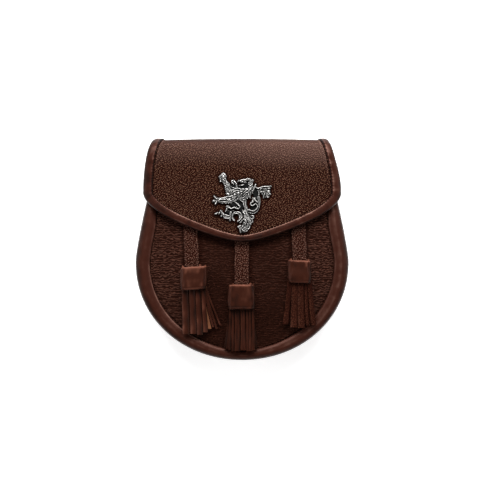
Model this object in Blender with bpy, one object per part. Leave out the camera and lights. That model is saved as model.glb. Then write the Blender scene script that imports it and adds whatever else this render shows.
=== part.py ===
"""Sporran pouch: a leather day sporran that lies on its back.

Metres. Seen from the front, +X is to the right, +Y is up to the fold of the flap and +Z comes
out of the front. The origin is under the middle of the outline, on the surface that it lies on.
"""

from collections import namedtuple
from math import cos, pi, radians, sin, sqrt, tau

import bmesh
import bpy
from mathutils import Vector

MM = 0.001
GAP = 0.3 * MM
LEATHER = 2.0 * MM

# Outline of the pouch, seen from the front
HALF_WIDTH = 90.5 * MM
HALF_WIDTH_TOP = 70.5 * MM
WIDEST_Y = -11.0 * MM
BOTTOM_Y = -93.9 * MM
TOP_Y = 92.0 * MM
MOUTH_Y = 72.0 * MM
BACK_TOP_Y = 80.0 * MM
BOTTOM_ROUNDNESS = 2.05
TAPER_SOFTNESS = 0.12
BACK_INSET = 2.6 * MM
GUSSET_WALL = 1.8 * MM

# Depths, from the back up to the front
BACK_RISE = 6.2 * MM
BACK_RISE_FROM_Y = 8.0 * MM
BACK_RISE_TO_Y = 48.0 * MM
FRONT_EDGE_Z = 27.5 * MM
FRONT_DOME = 3.5 * MM
DOME_POWER = 2.6
MOUTH_DROP = 5.0 * MM
MOUTH_DROP_FROM_Y = 15.0 * MM

# Front binding: a rolled edge, wide at the sides and narrow at the bottom
BINDING_SIDE = 12.6 * MM
BINDING_BOTTOM = 7.8 * MM
BINDING_DEPTH = 6.6 * MM
BINDING_RISE = 3.2 * MM
BINDING_REACH = (0.78, 0.86)
UNDER_FLAP_SHARE = 0.3
UNDER_FLAP_Y = (20.0 * MM, 45.0 * MM)

# Flap: its front lies level at FLAP_Z and folds over to the back
FLAP_Z = 36.0 * MM
FLAP_TAIL_Z = BACK_RISE + LEATHER + GAP + LEATHER / 2
FLAP_HALF_WIDTH = 83.7 * MM
FLAP_SIDE_Y = 52.0 * MM
FLAP_TIP_Y = 6.6 * MM
FLAP_SLOPE = 36.2 * MM
FLAP_TIP_ROUND = 0.27
FLAP_CORNER = 13.5 * MM
FLAP_SKEW = -0.3 * MM
FLAP_DROOP = 4.5 * MM
FLAP_ROW_STEP = 4.0 * MM
FOLD_Y = 92.5 * MM
FOLD_REACH = 14.0 * MM
FOLD_BULGE = 1.4 * MM
FOLD_CENTRE_Y = FOLD_Y - LEATHER / 2 - FOLD_REACH
FOLD_CENTRE_Z = (FLAP_Z + FLAP_TAIL_Z) / 2
FOLD_RADIUS = (FLAP_Z - FLAP_TAIL_Z) / 2
FOLD_LENGTH = pi * (FOLD_REACH + FOLD_RADIUS) / 2
FOLD_TOP = FOLD_CENTRE_Y + FOLD_LENGTH / 2
FOLD_END = FOLD_CENTRE_Y + FOLD_LENGTH
FOLD_HALF_WIDTH = 73.5 * MM
TAIL_HALF_WIDTH = 67.0 * MM
TAIL_LENGTH = 18.0 * MM
FOLD_STEPS = 10

# Flap binding: a channel of thinner leather round the flap's edge
CHANNEL_SIDE = 8.0 * MM
CHANNEL_BOTTOM = 5.1 * MM
CHANNEL_WALL = 1.3 * MM
CHANNEL_FLOOR = 1.6 * MM
CHANNEL_ROUND = 0.9 * MM
CHANNEL_BACK_STEP = 1.0 * MM

# Hangers, tassels, badge and closure
HANGER_WIDTH = 12.4 * MM
HANGER_LEATHER = 1.8 * MM
HEAD_DEPTH = 9.0 * MM
STRIP_LEATHER = 1.6 * MM
STRIP_HIDDEN = 4.0 * MM
STRIP_FIRST_Z = 2.6 * MM
STRIP_LAYER_Z = 2.4 * MM
BADGE_CENTRE = Vector((0.4 * MM, 40.4 * MM))
STUD_Y = 32.0 * MM
STUD_RADIUS = 6.5 * MM

# D-rings on tabs behind the top of the back
RING_X = 50.0 * MM
RING_WIRE = 1.25 * MM
RING_HALF_WIDTH = 11.0 * MM
RING_CORNER = 3.0 * MM
RING_BOW_Y = 5.5 * MM
RING_BAR_Y = 69.5 * MM
TAB_LEATHER = 1.4 * MM
TAB_WIDTH = 15.0 * MM
TAB_START_Y = 48.0 * MM
TAB_LEAVES_BAR = 6.0 * MM
TAB_TURN = radians(205)
LOOP_RADIUS = RING_WIRE + GAP + TAB_LEATHER / 2
LOOP_Z = LOOP_RADIUS + TAB_LEATHER / 2

Finish = namedtuple("Finish", "name srgb roughness metallic")
GRAINED = Finish("grained_leather", (78, 44, 36), 0.5, 0.0)
SMOOTH = Finish("smooth_leather", (92, 50, 40), 0.42, 0.0)
PLAIN = Finish("plain_leather", (70, 42, 32), 0.6, 0.0)
PEWTER = Finish("antique_pewter", (150, 150, 152), 0.4, 1.0)
NICKEL = Finish("nickel", (185, 185, 182), 0.25, 1.0)


# --- Making meshes ---------------------------------------------------------------------------


def clear_scene():
    for obj in list(bpy.data.objects):
        bpy.data.objects.remove(obj, do_unlink=True)


def material(finish):
    """The finish as a material with one Principled shader, made once."""
    found = bpy.data.materials.get(finish.name)
    if found:
        return found
    made = bpy.data.materials.new(finish.name)
    made.use_nodes = True
    shader = made.node_tree.nodes["Principled BSDF"]
    linear = [(channel / 255) ** 2.2 for channel in finish.srgb]
    shader.inputs["Base Color"].default_value = (*linear, 1.0)
    shader.inputs["Roughness"].default_value = finish.roughness
    shader.inputs["Metallic"].default_value = finish.metallic
    return made


def make_object(name, points, faces, finish):
    """A mesh object with its faces turned outwards and its round parts shaded smooth."""
    mesh = bpy.data.meshes.new(name)
    mesh.from_pydata(points, [], faces)
    work = bmesh.new()
    work.from_mesh(mesh)
    bmesh.ops.recalc_face_normals(work, faces=work.faces)
    work.to_mesh(mesh)
    work.free()
    mesh.shade_smooth()
    mesh.set_sharp_from_angle(angle=pi / 5)
    mesh.materials.append(material(finish))
    obj = bpy.data.objects.new(name, mesh)
    bpy.context.scene.collection.objects.link(obj)
    return obj


def sheet_solid(name, outer, inner, finish):
    """A closed sheet between two grids of points, its outer and its inner face."""
    rows, columns = len(outer), len(outer[0])
    points = [point for grid in (outer, inner) for row in grid for point in row]

    def at(face, row, column):
        return (face * rows + row) * columns + column

    faces = []
    for i in range(rows - 1):
        for j in range(columns - 1):
            corners = ((i, j), (i, j + 1), (i + 1, j + 1), (i + 1, j))
            faces.append([at(0, *corner) for corner in corners])
            faces.append([at(1, *corner) for corner in reversed(corners)])
    border = [(0, j) for j in range(columns)]
    border += [(i, columns - 1) for i in range(1, rows)]
    border += [(rows - 1, j) for j in reversed(range(columns - 1))]
    border += [(i, 0) for i in reversed(range(1, rows - 1))]
    for a, b in zip(border, border[1:] + border[:1]):
        faces.append([at(0, *a), at(0, *b), at(1, *b), at(1, *a)])
    return make_object(name, points, faces, finish)


def disc_solid(name, outline, centre, shares, outer_z, inner_z, finish):
    """A closed sheet inside an outline, in rings at the given shares of the way from its centre."""
    count = len(outline)
    flat = [centre] + [centre.lerp(corner, share) for share in shares for corner in outline]
    points = [(p.x, p.y, height(p.x, p.y)) for height in (outer_z, inner_z) for p in flat]
    faces = []
    for side in (0, len(flat)):
        for j in range(count):
            k = (j + 1) % count
            faces.append([side, side + 1 + j, side + 1 + k])
            for ring in range(len(shares) - 1):
                a = side + 1 + ring * count
                faces.append([a + j, a + count + j, a + count + k, a + k])
    rim = 1 + (len(shares) - 1) * count
    for j in range(count):
        k = (j + 1) % count
        faces.append([rim + j, rim + k, len(flat) + rim + k, len(flat) + rim + j])
    return make_object(name, points, faces, finish)


def sweep_solid(name, sections, finish):
    """A closed solid through a row of sections that have the same number of points."""
    count = len(sections[0])
    points = [point for section in sections for point in section]
    faces = [list(range(count)), list(range(len(points) - count, len(points)))]
    for i in range(len(sections) - 1):
        for j in range(count):
            k = (j + 1) % count
            a = i * count
            faces.append([a + j, a + k, a + count + k, a + count + j])
    return make_object(name, points, faces, finish)


def fuse(name, solids):
    """Joins overlapping solids into the first one, which takes the name."""
    body = solids[0]
    body.name = name
    for solid in solids[1:]:
        solid.hide_render = True
        solid.display_type = "WIRE"
        union = body.modifiers.new("fuse_" + solid.name, "BOOLEAN")
        union.operation = "UNION"
        union.object = solid
    return body


# --- Shape rules -----------------------------------------------------------------------------


def ease(value, low, high):
    """0 below low, 1 above high, and an S-curve between them."""
    t = min(1.0, max(0.0, (value - low) / (high - low)))
    return t * t * (3.0 - 2.0 * t)


def resample(path, count):
    """Points equally spaced along a path."""
    lengths = [0.0]
    for a, b in zip(path, path[1:]):
        lengths.append(lengths[-1] + (b - a).length)
    points = []
    k = 0
    for i in range(count):
        target = lengths[-1] * i / (count - 1)
        while k < len(path) - 2 and lengths[k + 1] < target:
            k += 1
        share = (target - lengths[k]) / (lengths[k + 1] - lengths[k])
        points.append(path[k].lerp(path[k + 1], share))
    return points


def inward_normals(path):
    """Normals of a path that runs down the left side, round the bottom and up the right."""
    normals = []
    for i in range(len(path)):
        along = path[min(i + 1, len(path) - 1)] - path[max(i - 1, 0)]
        normals.append(Vector((-along.y, along.x)).normalized())
    return normals


def half_width(y):
    """Half of the pouch's width: an ellipse below its widest line and a soft taper above it."""
    if y <= WIDEST_Y:
        t = min(1.0, (WIDEST_Y - y) / (WIDEST_Y - BOTTOM_Y))
        return HALF_WIDTH * (1.0 - t**BOTTOM_ROUNDNESS) ** (1.0 / BOTTOM_ROUNDNESS)
    t = (y - WIDEST_Y) / (TOP_Y - WIDEST_Y)
    taper = t * t * (1.0 + TAPER_SOFTNESS) / (t + TAPER_SOFTNESS)
    return HALF_WIDTH - (HALF_WIDTH - HALF_WIDTH_TOP) * taper


def pouch_outline(top_y, count):
    """The outline from the left end of the mouth round the bottom to its right end."""
    steps = 60
    side = [top_y + (WIDEST_Y - top_y) * i / steps for i in range(steps)]
    bend = [WIDEST_Y + (BOTTOM_Y - WIDEST_Y) * sin(pi / 2 * i / steps) for i in range(steps + 1)]
    left = [Vector((-half_width(y), y)) for y in side + bend]
    right = [Vector((-point.x, point.y)) for point in reversed(left[:-1])]
    return resample(left + right, count)


def edge_z(y):
    """Height of the front panel's edge, which sinks towards the mouth."""
    return FRONT_EDGE_Z - MOUTH_DROP * ease(y, MOUTH_DROP_FROM_Y, MOUTH_Y)


def reach(x, y):
    """0 in the middle of the pouch and 1 on its outline."""
    if y > WIDEST_Y:
        return min(1.0, abs(x) / half_width(y))
    across = abs(x) / HALF_WIDTH
    down = (WIDEST_Y - y) / (WIDEST_Y - BOTTOM_Y)
    whole = across**BOTTOM_ROUNDNESS + down**BOTTOM_ROUNDNESS
    return min(1.0, whole ** (1.0 / BOTTOM_ROUNDNESS))


def front_z(x, y):
    """Outer face of the domed front panel."""
    return edge_z(y) + FRONT_DOME * (1.0 - reach(x, y) ** DOME_POWER)


def back_z(x, y):
    """Outer face of the back panel: flat below, lifted over the ring tabs at the top."""
    return BACK_RISE * ease(y, BACK_RISE_FROM_Y, BACK_RISE_TO_Y)


def binding_width(point, normal):
    """The front binding narrows at the bottom and under the flap."""
    side = BINDING_BOTTOM + (BINDING_SIDE - BINDING_BOTTOM) * abs(normal.x) ** 0.6
    return side * (1.0 - UNDER_FLAP_SHARE * ease(point.y, *UNDER_FLAP_Y))


# --- The pouch -------------------------------------------------------------------------------


def closed_outline(top_y, inset, count, top_count):
    """The outline moved inwards by inset(point, normal), closed by a straight top edge."""
    path = pouch_outline(top_y, count)
    side = [p + n * inset(p, n) for p, n in zip(path, inward_normals(path))]
    for end, near in ((0, 1), (-1, -2)):
        along = side[end] - side[near]
        side[end] += along * (top_y - side[end].y) / along.y
    top = [side[-1].lerp(side[0], i / top_count) for i in range(1, top_count)]
    return side + top


def back_panel():
    outline = closed_outline(BACK_TOP_Y, lambda p, n: BACK_INSET, 46, 8)
    shares = (0.3, 0.52, 0.7, 0.86, 1.0)
    centre = Vector((0.0, 15 * MM))
    return disc_solid(
        "back_panel", outline, centre, shares, back_z, lambda x, y: back_z(x, y) + LEATHER, PLAIN
    )


def front_panel():
    outline = closed_outline(MOUTH_Y, lambda p, n: binding_width(p, n) + GAP, 50, 8)
    shares = (0.3, 0.58, 0.8, 1.0)
    return disc_solid(
        "front_panel",
        outline,
        Vector((0.0, -5 * MM)),
        shares,
        front_z,
        lambda x, y: front_z(x, y) - LEATHER,
        GRAINED,
    )


GussetLevel = namedtuple("GussetLevel", "height_share inset")
GUSSET_LEVELS = (
    GussetLevel(0.0, 3.2 * MM),
    GussetLevel(0.3, 5.4 * MM),
    GussetLevel(0.62, 6.2 * MM),
    GussetLevel(1.0, 3.4 * MM),
)


def gusset():
    """The side wall, pinched inwards halfway up like a bellows."""
    path = pouch_outline(MOUTH_Y, 42)
    sections = []
    for p, n in zip(path, inward_normals(path)):
        low = back_z(p.x, p.y) + LEATHER + GAP
        high = edge_z(p.y) - BINDING_DEPTH - GAP
        outer = [(low + (high - low) * level.height_share, level.inset) for level in GUSSET_LEVELS]
        inner = [(z, inset + GUSSET_WALL) for z, inset in reversed(outer)]
        sections.append([(*(p + n * inset), z) for z, inset in outer + inner])
    return sweep_solid("gusset", sections, PLAIN)


RollPoint = namedtuple("RollPoint", "width_share height")
ROLL = (
    RollPoint(0.0, -3.0 * MM),
    RollPoint(0.05, 0.4 * MM),
    RollPoint(0.28, 2.6 * MM),
    RollPoint(0.62, 3.0 * MM),
    RollPoint(0.9, 1.8 * MM),
    RollPoint(1.0, -0.4 * MM),
    RollPoint(0.96, -4.0 * MM),
    RollPoint(0.7, -BINDING_DEPTH),
    RollPoint(0.15, -BINDING_DEPTH + 0.6 * MM),
)


def front_binding():
    """The rolled edge that joins the front panel to the gusset."""
    path = pouch_outline(MOUTH_Y, 50)
    sections = []
    for p, n in zip(path, inward_normals(path)):
        width = binding_width(p, n)
        sections.append(
            [(*(p + n * width * r.width_share), edge_z(p.y) + r.height) for r in ROLL]
        )
    return sweep_solid("front_binding", sections, SMOOTH)


# --- The flap --------------------------------------------------------------------------------


def flap_side(s):
    """Half of the flap's width at a length s along the leather, above its lower corners."""
    if s > FOLD_TOP:
        share = min(1.0, (s - FOLD_TOP) / (FOLD_END - FOLD_TOP))
        return FOLD_HALF_WIDTH + (TAIL_HALF_WIDTH - FOLD_HALF_WIDTH) * share
    share = max(0.0, (s - FLAP_SIDE_Y) / (FOLD_TOP - FLAP_SIDE_Y))
    return FLAP_HALF_WIDTH + (FOLD_HALF_WIDTH - FLAP_HALF_WIDTH) * share**1.6


def flap_lower_edge(u):
    """Lower edge from the tip (u = 0) to the corners (u = -1 and 1)."""
    slope = FLAP_SLOPE * (sqrt(u * u + FLAP_TIP_ROUND**2) - FLAP_TIP_ROUND)
    corner = FLAP_CORNER * (1.0 - sqrt(1.0 - min(1.0, abs(u)) ** 6))
    return FLAP_TIP_Y + slope + corner + FLAP_SKEW * u


def side_lengths():
    """Where the flap's sides are cut across: its tail, the fold in equal turns, and its front."""
    fold = [FOLD_END - FOLD_LENGTH * i / FOLD_STEPS for i in range(FOLD_STEPS + 1)]
    level = [FLAP_SIDE_Y + (FOLD_CENTRE_Y - FLAP_SIDE_Y) * share for share in (0.67, 0.33, 0.0)]
    return [FOLD_END + TAIL_LENGTH] + fold + level


def flap_outline(lengths, count):
    """The flap's edge in flat leather: x across, and s along it as y counts before the fold."""
    right = [Vector((flap_side(s), s)) for s in lengths]
    left = [Vector((-point.x, point.y)) for point in right]
    shares = [sin(pi / 2 * (i / 150 - 1)) for i in range(301)]
    lower = [Vector((u * FLAP_HALF_WIDTH, flap_lower_edge(u))) for u in shares]
    return left + resample(lower, count) + right[::-1]


def flap_point(x, s, lift):
    """A point of the folded flap, raised by lift from the middle of its leather."""
    if s <= FOLD_CENTRE_Y:
        droop = FLAP_DROOP * (abs(x) / FLAP_HALF_WIDTH) ** 4
        return Vector((x, s, FLAP_Z + lift - droop))
    turn = min(1.0, (s - FOLD_CENTRE_Y) / FOLD_LENGTH) * pi
    past = max(0.0, s - FOLD_END)
    droop = FLAP_DROOP * (abs(x) / FLAP_HALF_WIDTH) ** 4 * (1.0 + cos(turn)) / 2
    bulge = FOLD_BULGE * max(0.0, 1.0 - (x / FOLD_HALF_WIDTH) ** 2)
    y = FOLD_CENTRE_Y + (FOLD_REACH + bulge + lift) * sin(turn) - past
    return Vector((x, y, FOLD_CENTRE_Z + (FOLD_RADIUS + lift) * cos(turn) - droop))


def crossing(edge, s):
    """Where a half of the flap's edge, which rises all the way, crosses the length s."""
    for a, b in zip(edge, edge[1:]):
        if a.y <= s <= b.y:
            return a.x + (b.x - a.x) * (s - a.y) / max(b.y - a.y, 1e-9)
    return edge[-1].x if s > edge[-1].y else edge[0].x


def flap():
    """The leather sheet: its edge lies inside the channel of its binding."""
    path = flap_outline(side_lengths(), 121)
    inset = CHANNEL_FLOOR + 2 * GAP
    edge = [p + n * inset for p, n in zip(path, inward_normals(path))]
    tip = min(range(len(edge)), key=lambda i: edge[i].y)
    left, right = edge[tip::-1], edge[tip:]
    rows = side_lengths()
    while rows[-1] - FLAP_ROW_STEP > edge[tip].y + FLAP_ROW_STEP / 2:
        rows.append(rows[-1] - FLAP_ROW_STEP)
    rows.append(edge[tip].y + 0.1 * FLAP_ROW_STEP)
    columns = 17
    faces = []
    for lift in (LEATHER / 2, -LEATHER / 2):
        grid = []
        for s in rows:
            low, high = crossing(left, s), crossing(right, s)
            across = [low + (high - low) * j / (columns - 1) for j in range(columns)]
            grid.append([flap_point(x, s, lift) for x in across])
        faces.append(grid)
    return sheet_solid("flap", *faces, GRAINED)


def flap_binding():
    """The folded strip that holds the flap's edge, from the back of the fold round the tip."""
    path = flap_outline(side_lengths()[2:], 44)
    inner = LEATHER / 2 + GAP
    outer = inner + CHANNEL_WALL
    sections = []
    for p, n in zip(path, inward_normals(path)):
        if p.y >= FOLD_CENTRE_Y:
            n = Vector((1.0 if p.x < 0 else -1.0, 0.0))
        width = CHANNEL_BOTTOM + (CHANNEL_SIDE - CHANNEL_BOTTOM) * abs(n.x) ** 0.85
        channel = (
            (width, outer),
            (CHANNEL_ROUND, outer),
            (0.0, 0.0),
            (CHANNEL_ROUND, -outer),
            (width - CHANNEL_BACK_STEP, -outer),
            (width - CHANNEL_BACK_STEP, -inner),
            (CHANNEL_FLOOR, -inner),
            (CHANNEL_FLOOR, inner),
            (width, inner),
        )
        sections.append([flap_point(*(p + n * depth), lift) for depth, lift in channel])
    return sweep_solid("flap_binding", sections, SMOOTH)


# --- Hangers and tassels ---------------------------------------------------------------------

# The strap runs from strap_x, hidden_top under the flap, to strap_end_x, head_top
Tassel = namedtuple(
    "Tassel", "side strap_x strap_end_x head_x head_top head_width head_height hidden_top"
)
TASSELS = tuple(
    Tassel(side, *(size * MM for size in sizes))
    for side, *sizes in (
        ("left", -43.8, -42.6, -40.4, -14.5, 22.0, 19.0, 34.0),
        ("centre", -0.2, -0.3, -0.3, -29.8, 22.4, 20.4, 20.0),
        ("right", 47.3, 48.5, 48.5, -9.4, 19.4, 18.6, 35.0),
    )
)
# Across the head, the strips start at start_x and end at (end_x, end_y), all from its middle
Strip = namedtuple("Strip", "start_x end_x end_y width layer")
STRIPS = {
    "left": (
        Strip(-7.8 * MM, -7.4 * MM, -70.6 * MM, 4.6 * MM, 1),
        Strip(-2.7 * MM, -2.2 * MM, -71.2 * MM, 4.6 * MM, 1),
        Strip(2.4 * MM, 3.2 * MM, -71.0 * MM, 4.6 * MM, 1),
        Strip(6.9 * MM, 9.4 * MM, -70.2 * MM, 3.8 * MM, 1),
        Strip(8.2 * MM, 16.2 * MM, -68.6 * MM, 2.8 * MM, 0),
        Strip(5.2 * MM, 12.0 * MM, -69.4 * MM, 2.8 * MM, 0),
        Strip(-5.2 * MM, -5.0 * MM, -69.0 * MM, 4.2 * MM, 0),
        Strip(-0.2 * MM, 0.6 * MM, -70.0 * MM, 4.2 * MM, 0),
    ),
    "centre": (
        Strip(-8.0 * MM, -8.9 * MM, -84.6 * MM, 4.8 * MM, 1),
        Strip(-2.7 * MM, -3.3 * MM, -85.3 * MM, 4.8 * MM, 1),
        Strip(2.6 * MM, 2.4 * MM, -85.0 * MM, 4.8 * MM, 1),
        Strip(7.9 * MM, 8.2 * MM, -84.4 * MM, 4.8 * MM, 1),
        Strip(-8.2 * MM, -12.4 * MM, -82.6 * MM, 3.0 * MM, 0),
        Strip(-3.4 * MM, -4.6 * MM, -83.2 * MM, 4.2 * MM, 0),
        Strip(2.0 * MM, 1.6 * MM, -83.4 * MM, 4.2 * MM, 0),
        Strip(8.0 * MM, 10.4 * MM, -82.8 * MM, 3.0 * MM, 0),
    ),
    "right": (
        Strip(-7.2 * MM, -12.6 * MM, -63.6 * MM, 4.4 * MM, 1),
        Strip(-2.4 * MM, -5.6 * MM, -64.9 * MM, 4.4 * MM, 1),
        Strip(2.4 * MM, 2.2 * MM, -64.8 * MM, 4.4 * MM, 1),
        Strip(7.0 * MM, 10.8 * MM, -62.8 * MM, 4.4 * MM, 1),
        Strip(-4.8 * MM, -9.2 * MM, -64.0 * MM, 4.0 * MM, 0),
        Strip(0.0 * MM, -1.6 * MM, -64.4 * MM, 4.0 * MM, 0),
        Strip(4.8 * MM, 6.8 * MM, -63.6 * MM, 4.0 * MM, 0),
    ),
}


def lie_z(x, y):
    """What a loose strip lies on: the front panel, and the raised binding round it."""
    return front_z(x, y) + BINDING_RISE * ease(reach(x, y), *BINDING_REACH)


def hanger(tassel):
    """The strap from under the flap down to the tassel's head."""
    steps = 7
    top = Vector((tassel.strap_x, tassel.hidden_top))
    end = Vector((tassel.strap_end_x, tassel.head_top + GAP))
    sections = []
    for i in range(steps + 1):
        middle = top.lerp(end, i / steps)
        corners = []
        for side, lift in ((-1, 0.0), (1, 0.0), (1, HANGER_LEATHER), (-1, HANGER_LEATHER)):
            x = middle.x + side * HANGER_WIDTH / 2
            corners.append((x, middle.y, front_z(x, middle.y) + GAP + lift))
        sections.append(corners)
    return sweep_solid("hanger_" + tassel.side, sections, GRAINED)


HeadLevel = namedtuple("HeadLevel", "share fullness")
HEAD_LEVELS = (
    HeadLevel(0.0, 0.94),
    HeadLevel(0.08, 1.0),
    HeadLevel(0.5, 1.02),
    HeadLevel(0.92, 1.0),
    HeadLevel(1.0, 0.96),
)


def tassel_head(tassel):
    """The rolled wrap: a flat pad with round sides, a little fuller in its middle."""
    middle_z = front_z(tassel.head_x, tassel.head_top - tassel.head_height / 2)
    middle_z += GAP + HEAD_DEPTH / 2
    half_depth = HEAD_DEPTH / 2 - 0.2 * MM
    sections = []
    for level in HEAD_LEVELS:
        y = tassel.head_top - tassel.head_height * level.share
        section = []
        for i in range(12):
            turn = tau * (i + 0.5) / 12
            across = abs(cos(turn)) ** 0.5 * (1 if cos(turn) > 0 else -1)
            up = abs(sin(turn)) ** 0.5 * (1 if sin(turn) > 0 else -1)
            x = tassel.head_x + tassel.head_width / 2 * level.fullness * across
            section.append((x, y, middle_z + half_depth * level.fullness * up))
        sections.append(section)
    return sweep_solid("head_" + tassel.side, sections, SMOOTH)


def tassel_strip(tassel, strip, number):
    """One cut strip, from inside the head down to where it lies on the panel."""
    start_y = tassel.head_top - tassel.head_height + STRIP_HIDDEN
    start_z = front_z(tassel.head_x, start_y) + STRIP_FIRST_Z + STRIP_LAYER_Z * strip.layer
    rest = GAP + STRIP_LEATHER / 2 + strip.layer * (STRIP_LEATHER + GAP)
    sections = []
    for i in range(6):
        share = i / 5
        y = start_y + (strip.end_y - start_y) * share
        x = tassel.head_x + strip.start_x + (strip.end_x - strip.start_x) * share**1.4
        settle = ease(share, 0.1, 0.9)
        z = start_z + (lie_z(x, y) + rest - start_z) * settle
        half, thick = strip.width / 2, STRIP_LEATHER / 2
        corners = ((-half, -thick), (half, -thick), (half, thick), (-half, thick))
        sections.append([(x + across, y, z + lift) for across, lift in corners])
    return sweep_solid(f"strip_{tassel.side}_{number}", sections, PLAIN)


def tassel_solid(tassel):
    strips = [tassel_strip(tassel, strip, i) for i, strip in enumerate(STRIPS[tassel.side])]
    return fuse("tassel_" + tassel.side, [tassel_head(tassel)] + strips)


# --- Badge -----------------------------------------------------------------------------------

# The cast lion, in millimetres from the badge's middle: each limb is a raised ridge through
# points with a half-width and a height
Ridge = namedtuple("Ridge", "name height points")
LION = (
    Ridge("chest", 3.6, ((-11.5, 9.0, 4.2), (-4.0, 8.5, 5.6), (3.0, 9.0, 5.4), (9.0, 11.5, 2.6))),
    Ridge("waist", 3.2, ((-1.5, 6.0, 4.0), (1.2, 0.0, 2.6), (2.6, -6.0, 2.2), (4.0, -12.0, 3.0))),
    Ridge("jaw", 2.8, ((9.0, 11.0, 2.2), (9.0, 16.8, 2.2), (4.5, 19.0, 1.4), (-3.8, 17.4, 1.2))),
    Ridge("tongue", 2.4, ((-1.0, 11.5, 1.6), (-5.0, 15.6, 1.5), (-8.6, 18.4, 1.3))),
    Ridge("raised_leg", 3.0, ((-11.0, 10.0, 3.4), (-14.2, 15.4, 2.7), (-16.6, 20.2, 2.7))),
    Ridge("raised_paw", 2.7, ((-19.8, 19.6, 1.6), (-16.6, 20.6, 2.6), (-15.6, 23.8, 1.8))),
    Ridge("low_leg", 3.1, ((-5.0, 4.4, 3.0), (-12.0, 2.6, 2.6), (-22.0, 1.6, 2.0))),
    Ridge("chest_front", 3.0, ((-12.8, 14.4, 2.2), (-13.4, 8.4, 1.8))),
    Ridge("mane_end", 2.9, ((5.4, 8.6, 3.0), (7.4, 3.0, 1.5))),
    Ridge("ear", 2.8, ((8.2, 6.6, 1.2), (11.0, 15.0, 1.2))),
    Ridge("low_fringe", 2.2, ((-4.0, 0.8, 1.4), (-11.0, -0.4, 1.2), (-18.0, -0.6, 1.0))),
    Ridge("low_claw_up", 2.2, ((-20.6, 2.2, 1.4), (-24.8, 5.2, 0.8))),
    Ridge("low_claw_mid", 2.3, ((-20.5, 1.5, 1.4), (-25.2, 1.2, 1.0))),
    Ridge("low_claw_down", 2.1, ((-20.4, 0.8, 1.4), (-23.2, -2.4, 0.9))),
    Ridge("crown_neck", 2.9, ((7.0, 11.0, 1.8), (11.5, 12.0, 1.6), (14.2, 10.6, 1.6))),
    Ridge("crown_band", 2.7, ((14.2, 12.6, 1.2), (14.6, 6.0, 1.3), (15.0, -2.0, 1.0))),
    Ridge("crown_side", 2.5, ((13.6, 12.4, 1.1), (19.0, 12.8, 1.2), (24.4, 13.2, 1.3))),
    Ridge("crown_body", 3.0, ((13.8, 8.4, 2.2), (19.0, 8.4, 4.2), (23.8, 8.8, 3.2))),
    Ridge("crown_tip", 2.3, ((15.4, 6.0, 1.6), (18.2, 3.0, 1.3))),
    Ridge("tail_band", 2.2, ((15.0, -1.6, 1.0), (13.2, -7.4, 1.0), (8.6, -9.8, 1.0), (3.0, -9.4, 1.2))),
    Ridge("tail_loop", 2.5, ((3.0, -5.0, 1.5), (8.6, -7.2, 1.1), (12.2, -4.6, 1.1), (9.0, -2.0, 1.3))),
    Ridge("tail_tuft", 2.7, ((9.0, -2.2, 1.4), (7.2, 0.0, 1.5), (10.2, 1.2, 1.5), (9.6, 3.6, 1.0))),
    Ridge("scroll", 2.4, ((-5.0, 2.0, 1.4), (-2.2, -3.2, 1.1), (-8.0, -5.2, 1.1), (-13.6, -4.4, 1.2))),
    Ridge("scroll_foot", 2.4, ((-12.6, -4.4, 1.2), (-12.4, -7.6, 1.2), (-9.6, -10.4, 1.4))),
    Ridge("ring_left", 2.6, ((-6.6, -15.6, 1.0), (-8.8, -12.4, 1.2), (-6.6, -8.6, 1.3))),
    Ridge("ring_right", 2.8, ((-7.0, -8.8, 1.3), (-2.4, -8.8, 1.5), (-0.4, -12.2, 1.5), (-4, -17, 1.2))),
    Ridge("hind_knee", 2.6, ((-8.4, -11.4, 1.6), (-10.4, -12.6, 2.0), (-10.6, -15.4, 1.2))),
    Ridge("hind_shin", 2.7, ((-9.0, -12.8, 2.0), (-14.6, -12.0, 1.9), (-18.8, -7.4, 1.3))),
    Ridge("hind_toe", 2.2, ((-16.6, -10.6, 1.6), (-20.6, -9.4, 1.1), (-23.8, -10.2, 1.0))),
    Ridge("haunch", 3.5, ((2.6, -10.4, 2.6), (4.6, -14.6, 4.2), (3.4, -20.0, 4.0), (1.6, -24.0, 2.2))),
    Ridge("haunch_link", 2.5, ((-1.6, -11.6, 1.4), (3.0, -12.4, 1.6))),
    Ridge("fur_top", 2.6, ((4.0, -13.2, 1.6), (9.2, -12.6, 1.0))),
    Ridge("fur_mid", 2.6, ((4.4, -16.2, 1.8), (9.2, -16.4, 1.0))),
    Ridge("fur_low", 2.5, ((4.0, -19.4, 1.8), (8.2, -20.2, 1.0))),
    Ridge("foot_toe", 2.4, ((1.0, -21.6, 1.8), (-1.6, -25.6, 1.1))),
    Ridge("foot_spur", 2.3, ((0.6, -20.4, 1.6), (-3.8, -20.6, 1.0))),
)


def ridge_solid(ridge):
    """One limb: a ridge with a flat back, a sloped side and a narrow top."""
    base = FLAP_Z + LEATHER / 2 + GAP
    middles = [Vector((x, y)) * MM + BADGE_CENTRE for x, y, _ in ridge.points]
    sections = []
    for middle, normal, (_, _, half) in zip(middles, inward_normals(middles), ridge.points):
        top = base + ridge.height * MM * min(1.0, 0.62 + 0.2 * half)
        shape = ((-1.0, base), (-0.85, base + (top - base) * 0.6), (-0.35, top))
        shape += ((0.35, top), (0.85, base + (top - base) * 0.6), (1.0, base))
        sections.append([(*(middle + normal * half * MM * across), z) for across, z in shape])
    return sweep_solid("ridge_" + ridge.name, sections, PEWTER)


def badge():
    return fuse("badge", [ridge_solid(ridge) for ridge in LION])


# --- Closure and rings -----------------------------------------------------------------------

StudLevel = namedtuple("StudLevel", "share radius_share")
STUD_LEVELS = (
    StudLevel(0.0, 1.0),
    StudLevel(0.3, 1.0),
    StudLevel(0.4, 0.62),
    StudLevel(0.6, 0.62),
    StudLevel(0.7, 1.0),
    StudLevel(1.0, 1.0),
)


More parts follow.
